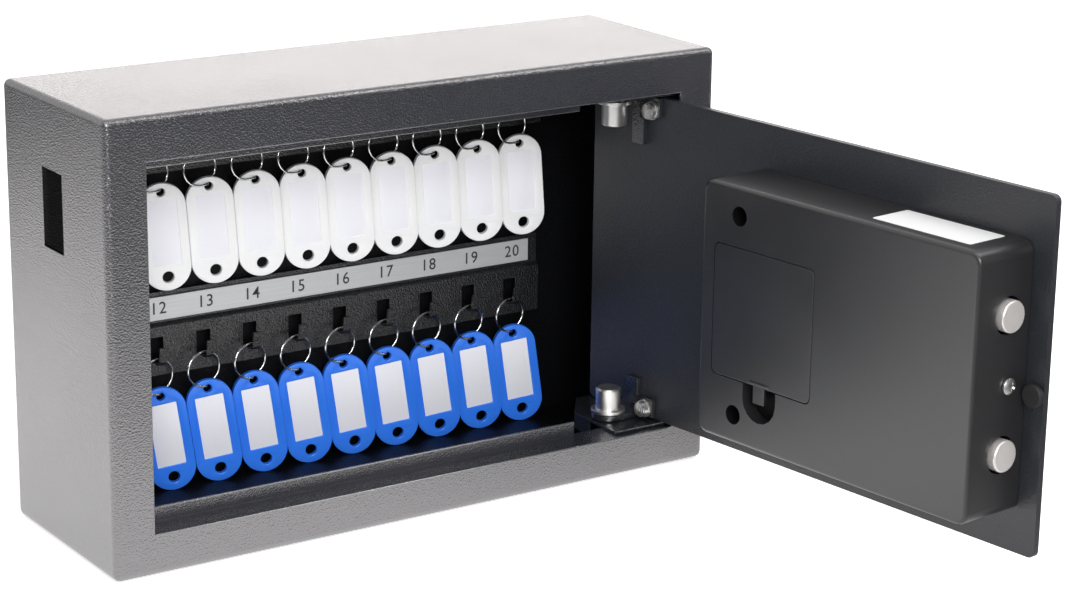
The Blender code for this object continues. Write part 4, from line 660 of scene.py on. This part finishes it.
# Fixings and small fittings: zinc-plated screws with crossed pan heads, and the rubber buffer on the leaf.
# The turned bolts are satin nickel on a carriage of bent sheet, and the solenoid beside it blocks them.
blade_length, blade_width, cross_depth = 0.0042, 0.0009, 0.0018
head_y = -0.0411
for place, head_place, head_turn in (
        ("side", (-0.127, -0.0305, 0.0965), Matrix.Rotation(math.radians(90), 4, "Y")),
        ("upper", (screw_x, head_y, screw_levels["upper"]), Matrix.Rotation(math.radians(90), 4, "X")),
        ("lower", (screw_x, head_y, screw_levels["lower"]), Matrix.Rotation(math.radians(90), 4, "X"))):
    screw = rounded_copy("housing_screw_" + place, place + "_screw", radius=0.0001, segments=2, merged=False)
    for blade, blade_turn in enumerate((20, 110)):
        bpy.ops.object.select_all(action="DESELECT")
        bpy.ops.mesh.primitive_cube_add(size=1, location=(0, 0, 0))
        cutter = bpy.context.object
        cutter.data.transform(Matrix.Diagonal((blade_length, blade_width, cross_depth, 1)))
        cutter.data.transform(door_turn @ Matrix.Translation(head_place) @ head_turn
                              @ Matrix.Rotation(math.radians(blade_turn), 4, "Z"))
        pick(screw)
        cross = screw.modifiers.new("cross_" + str(blade), "BOOLEAN")
        cross.operation = "DIFFERENCE"
        cross.solver = "EXACT"
        cross.object = cutter
        bpy.ops.object.modifier_apply(modifier=cross.name)
        bpy.data.objects.remove(cutter)
    finish_piece(screw, "door", "screws", bright_zinc, "housing_screw_" + place)
buffer_rubber = moulded_plastic("buffer_rubber", dark=(0.010, 0.010, 0.010), light=(0.016, 0.016, 0.016),
                                smooth=0.6, rough=0.75, bump=0.6, scale=1500)
buffer = rounded_copy("door_buffer", "rubber_buffer", radius=0.0008)
finish_piece(buffer, "door", "rubber", buffer_rubber, "door_buffer")
satin_nickel = plated_metal("satin_nickel", dark=(0.78, 0.745, 0.72), light=(0.88, 0.845, 0.82),
                            smooth=0.26, rough=0.38, streak_scale=900, metallic=0.65)
for end in ("upper", "lower"):
    bolt = rounded_copy("locking_bolt_" + end, end + "_bolt", radius=0.0003)
    finish_piece(bolt, "bolts", "bolts", satin_nickel, "locking_bolt_" + end)
carriage = rounded_copy("bolt_carriage", "carriage_plate", radius=0.0002, segments=2)
finish_piece(carriage, "bolts", "screws", bright_zinc, "bolt_carriage")
coil = rounded_copy("solenoid", "locking_solenoid", radius=0.0002, segments=2)
finish_piece(coil, "door", "screws", bright_zinc, "solenoid")


# Keypad side: the grained plastic panel outside the door, with printed push keys, lights and a turning knob.
# The steel emergency cylinder sits in the panel, under a flap that hangs on its own pivot.
pad_x, pad_z, key_pitch = -0.008, 0.098, 0.016
key_face, legend_height = -0.0577, 0.0062
panel_plastic = moulded_plastic("panel_plastic", dark=(0.014, 0.014, 0.016), light=(0.024, 0.024, 0.026),
                                smooth=0.34, rough=0.46, bump=0.4)
panel = rounded_copy("keypad_panel", "outer_panel", radius=0.0003, segments=2, merged=False)
finish_piece(panel, "door", "housing", panel_plastic, "keypad_panel")
key_plastic = moulded_plastic("key_plastic", dark=(0.030, 0.030, 0.034), light=(0.045, 0.045, 0.050),
                              smooth=0.42, rough=0.55, bump=0.4)
key_ink = printing_ink("key_ink", dark=(0.70, 0.70, 0.70), light=(0.80, 0.80, 0.80))
for key_number, legend in enumerate(("1", "2", "3", "4", "5", "6", "7", "8", "9", "*", "0", "#")):
    key_name = {"*": "star", "#": "hash"}.get(legend, legend)
    key = rounded_copy("key_" + key_name, "push_key_" + key_name, radius=0.0003, segments=2)
    finish_piece(key, "button_" + key_name, "keys", key_plastic, "key_" + key_name)
    key_x = pad_x + key_pitch * (key_number % 3 - 1)
    key_z = pad_z + key_pitch * (1.5 - key_number // 3)
    mark = printed("key_legend_" + key_name, legend, legend_height, (0, 0, 0), Matrix.Identity(4))
    mark.data.transform(door_turn @ Matrix.Translation((key_x, key_face - ink_film, key_z)) @ facing_front)
    finish_piece(mark, "button_" + key_name, "keys", key_ink)
light_plastic = moulded_plastic("light_plastic", dark=(0.26, 0.04, 0.03), light=(0.34, 0.06, 0.05),
                                smooth=0.12, rough=0.2, bump=0.02)
lights = rounded_copy("status_lights", "light_guide", radius=0.0002, segments=2)
finish_piece(lights, "door", "lights", light_plastic, "status_lights")
knob = rounded_copy("lock_knob", "turning_knob", radius=0.0005)
finish_piece(knob, "knob", "housing", panel_plastic, "lock_knob")
cylinder = rounded_copy("emergency_lock", "emergency_cylinder", radius=0.0003)
finish_piece(cylinder, "door", "screws", bright_zinc, "emergency_lock")
flap = rounded_copy("emergency_flap", "cylinder_flap", radius=0.0004)
finish_piece(flap, "flap", "housing", panel_plastic, "emergency_flap")


# Key tags: a moulded holder with two eyes round a white card, on a sprung steel ring that hangs in the hook.
# The upper row is white and the lower row blue, and each row leans the way that its rings have settled.
last_hook, hook_y, lower_hook_z, row_rise = 0.104, 0.0390, 0.06495, 0.0946
tag_length, tag_width, tag_thickness = 0.050, 0.022, 0.003
upper_eye, lower_eye, eye_spacing = 0.0020, 0.0027, 0.0395
window_width, window_height = 0.0134, 0.0300
plate_drop, window_rise = 0.0010, 0.0010
holder_rounding, through_cut = 0.00055, 0.02
card_tuck, card_recess, card_rounding = 0.0004, 0.0008, 0.0002
ring_radius, ring_gauge, ring_clearance = 0.0082, 0.00055, 0.0002
ring_splay, first_turn, wire_steps = math.radians(25), math.radians(6), 14
bearing = 0.0017
tag_turn = Matrix.Rotation(math.radians(-14), 4, "Z")


def tag_holder(name):
    """A stadium-shaped plate with both its eyes and its window, centred on its upper eye and facing front."""
    bpy.ops.object.select_all(action="DESELECT")
    bpy.ops.mesh.primitive_cube_add(size=1, location=(0, 0, -eye_spacing / 2 - plate_drop))
    holder = bpy.context.object
    holder.name = name
    bpy.ops.object.mode_set(mode="EDIT")
    bpy.ops.transform.resize(value=(tag_width, tag_thickness, tag_length))
    bpy.ops.mesh.select_all(action="DESELECT")
    bpy.ops.mesh.select_mode(type="EDGE")
    shape = bmesh.from_edit_mesh(holder.data)
    for edge in shape.edges:
        first, second = (corner.co for corner in edge.verts)
        edge.select = abs(first.x - second.x) < 1e-6 and abs(first.z - second.z) < 1e-6
    bmesh.update_edit_mesh(holder.data)
    bpy.ops.mesh.bevel(offset=tag_width / 2 * 0.999, offset_type="OFFSET", segments=14)
    bpy.ops.object.mode_set(mode="OBJECT")
    bpy.ops.object.transform_apply(location=True, rotation=True, scale=True)
    cutters = []
    for eye_radius, eye_z in ((upper_eye, 0), (lower_eye, -eye_spacing)):
        bpy.ops.mesh.primitive_cylinder_add(vertices=32, radius=eye_radius, depth=through_cut,
                                            location=(0, 0, eye_z), rotation=(math.radians(90), 0, 0))
        cutters.append(bpy.context.object)
    bpy.ops.mesh.primitive_cube_add(size=1, location=(0, 0, -eye_spacing / 2 + window_rise))
    bpy.context.object.scale = (window_width, through_cut, window_height)
    cutters.append(bpy.context.object)
    for number, cutter in enumerate(cutters):
        cut = holder.modifiers.new("cut_" + str(number), "BOOLEAN")
        cut.operation = "DIFFERENCE"
        cut.solver = "EXACT"
        cut.object = cutter
    pick(holder)
    soft = holder.modifiers.new("soft", "BEVEL")
    soft.width = holder_rounding
    soft.segments = 3
    soft.limit_method = "ANGLE"
    soft.angle_limit = math.radians(40)
    for modifier in list(holder.modifiers):
        bpy.ops.object.modifier_apply(modifier=modifier.name)
    for cutter in cutters:
        bpy.data.objects.remove(cutter)
    bpy.ops.object.shade_smooth_by_angle(angle=math.radians(40))
    return holder


def tag_card(name):
    """The paper card in the window, let in a little below the holder's faces."""
    bpy.ops.object.select_all(action="DESELECT")
    bpy.ops.mesh.primitive_cube_add(size=1, location=(0, 0, -eye_spacing / 2 + window_rise))
    card = bpy.context.object
    card.name = name
    bpy.ops.object.mode_set(mode="EDIT")
    bpy.ops.transform.resize(value=(window_width + card_tuck, tag_thickness - card_recess,
                                    window_height + card_tuck))
    bpy.ops.mesh.select_all(action="SELECT")
    bpy.ops.mesh.bevel(offset=card_rounding, offset_type="OFFSET", segments=2)
    bpy.ops.object.mode_set(mode="OBJECT")
    bpy.ops.object.transform_apply(location=True, rotation=True, scale=True)
    bpy.ops.object.shade_smooth_by_angle(angle=math.radians(40))
    return card


def ring_place(turn, swing, slew):
    """Where a point of the ring lies, by its angle from straight below the ring's centre."""
    centre = Vector((-math.sin(swing + slew), -math.cos(swing + slew))) * ring_radius
    return centre + Vector((-math.sin(turn), -math.cos(turn))) * ring_radius


def tag_ring(name, swing, slew):
    """The ring's wire, round the hook above, past both faces of the tag and through its eye."""
    bottom = ring_place(swing - slew, swing, slew)
    chord = -bottom.normalized()
    tag_top = bottom.y - bearing + (tag_length - eye_spacing) / 2 - plate_drop
    halves = []
    for side, reach in ((1, math.pi + slew * 2), (-1, math.pi - slew * 2)):
        half = []
        for step in range(wire_steps):
            turn = swing - slew + side * (first_turn + (reach - first_turn) * step / wire_steps)
            point = ring_place(turn, swing, slew)
            away = abs((point - bottom).cross(chord)) * math.tan(ring_splay)
            if point.y < tag_top + ring_gauge:
                away = max(away, tag_thickness / 2 + ring_gauge + ring_clearance)
            half.append((point.x, -side * away, point.y))
        halves.append(half)
    route = [(0, 0, 0)] + halves[0][::-1] + halves[1]
    wire = bpy.data.curves.new(name, "CURVE")
    wire.dimensions = "3D"
    wire.bevel_depth = ring_gauge
    wire.bevel_resolution = 3
    coil_line = wire.splines.new("POLY")
    coil_line.points.add(len(route) - 1)
    for point, spot in zip(coil_line.points, route):
        point.co = (*spot, 1)
    coil_line.use_cyclic_u = True
    ring = bpy.data.objects.new(name, wire)
    bpy.context.scene.collection.objects.link(ring)
    pick(ring)
    bpy.ops.object.convert(target="MESH")
    bpy.ops.object.shade_smooth()
    return bpy.context.object


white_tag_plastic = moulded_plastic("white_tag_plastic", dark=(0.86, 0.86, 0.87), light=(0.91, 0.91, 0.92),
                                    smooth=0.26, rough=0.36, bump=0.08)
blue_tag_plastic = moulded_plastic("blue_tag_plastic", dark=(0.025, 0.185, 0.88), light=(0.040, 0.225, 0.95),
                                   smooth=0.26, rough=0.36, bump=0.08)
card_paper = moulded_plastic("card_paper", dark=(0.84, 0.84, 0.90), light=(0.89, 0.89, 0.94),
                             smooth=0.55, rough=0.7, bump=0.15, scale=700)
ring_steel = plated_metal("ring_steel", dark=(0.66, 0.66, 0.65), light=(0.82, 0.82, 0.81),
                          smooth=0.12, rough=0.22, streak_scale=1200)
hook_places = [last_hook - hook_pitch * step for step in range(9, -1, -1)]
first_holder = tag_holder("tag_holder")
first_card = tag_card("tag_card")
for lift, lean, eye_shift, slew, tag_plastic, tag_slot, first_number in (
        (row_rise, math.radians(4), 0.0016, math.radians(24), white_tag_plastic, "tags_white", 1),
        (0, math.radians(8), -0.0006, math.radians(14), blue_tag_plastic, "tags_blue", 11)):
    swing = -math.asin(eye_shift / (ring_radius * 2 * math.cos(slew)))
    first_ring = tag_ring("tag_ring", swing, slew)
    eye = ring_place(swing - slew, swing, slew)
    settle = tag_turn @ Matrix.Translation((eye.x, 0, eye.y - bearing)) @ Matrix.Rotation(-lean, 4, "Y")
    for number, hook_x in enumerate(hook_places, first_number):
        pivot = Matrix.Translation((hook_x, hook_y, lower_hook_z + lift))
        body = "tag_" + str(number).zfill(2)
        for first, kind, material, placing in ((first_holder, "holder", tag_plastic, settle),
                                               (first_card, "card", card_paper, settle),
                                               (first_ring, "ring", ring_steel, tag_turn)):
            piece = bpy.data.objects.new(body + "_" + kind, first.data.copy())
            bpy.context.scene.collection.objects.link(piece)
            piece.data.transform(pivot @ placing)
            finish_piece(piece, body, tag_slot, material)
            if kind == "holder":
                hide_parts("key_" + body)
    bpy.data.objects.remove(first_ring)
bpy.data.objects.remove(first_holder)
bpy.data.objects.remove(first_card)
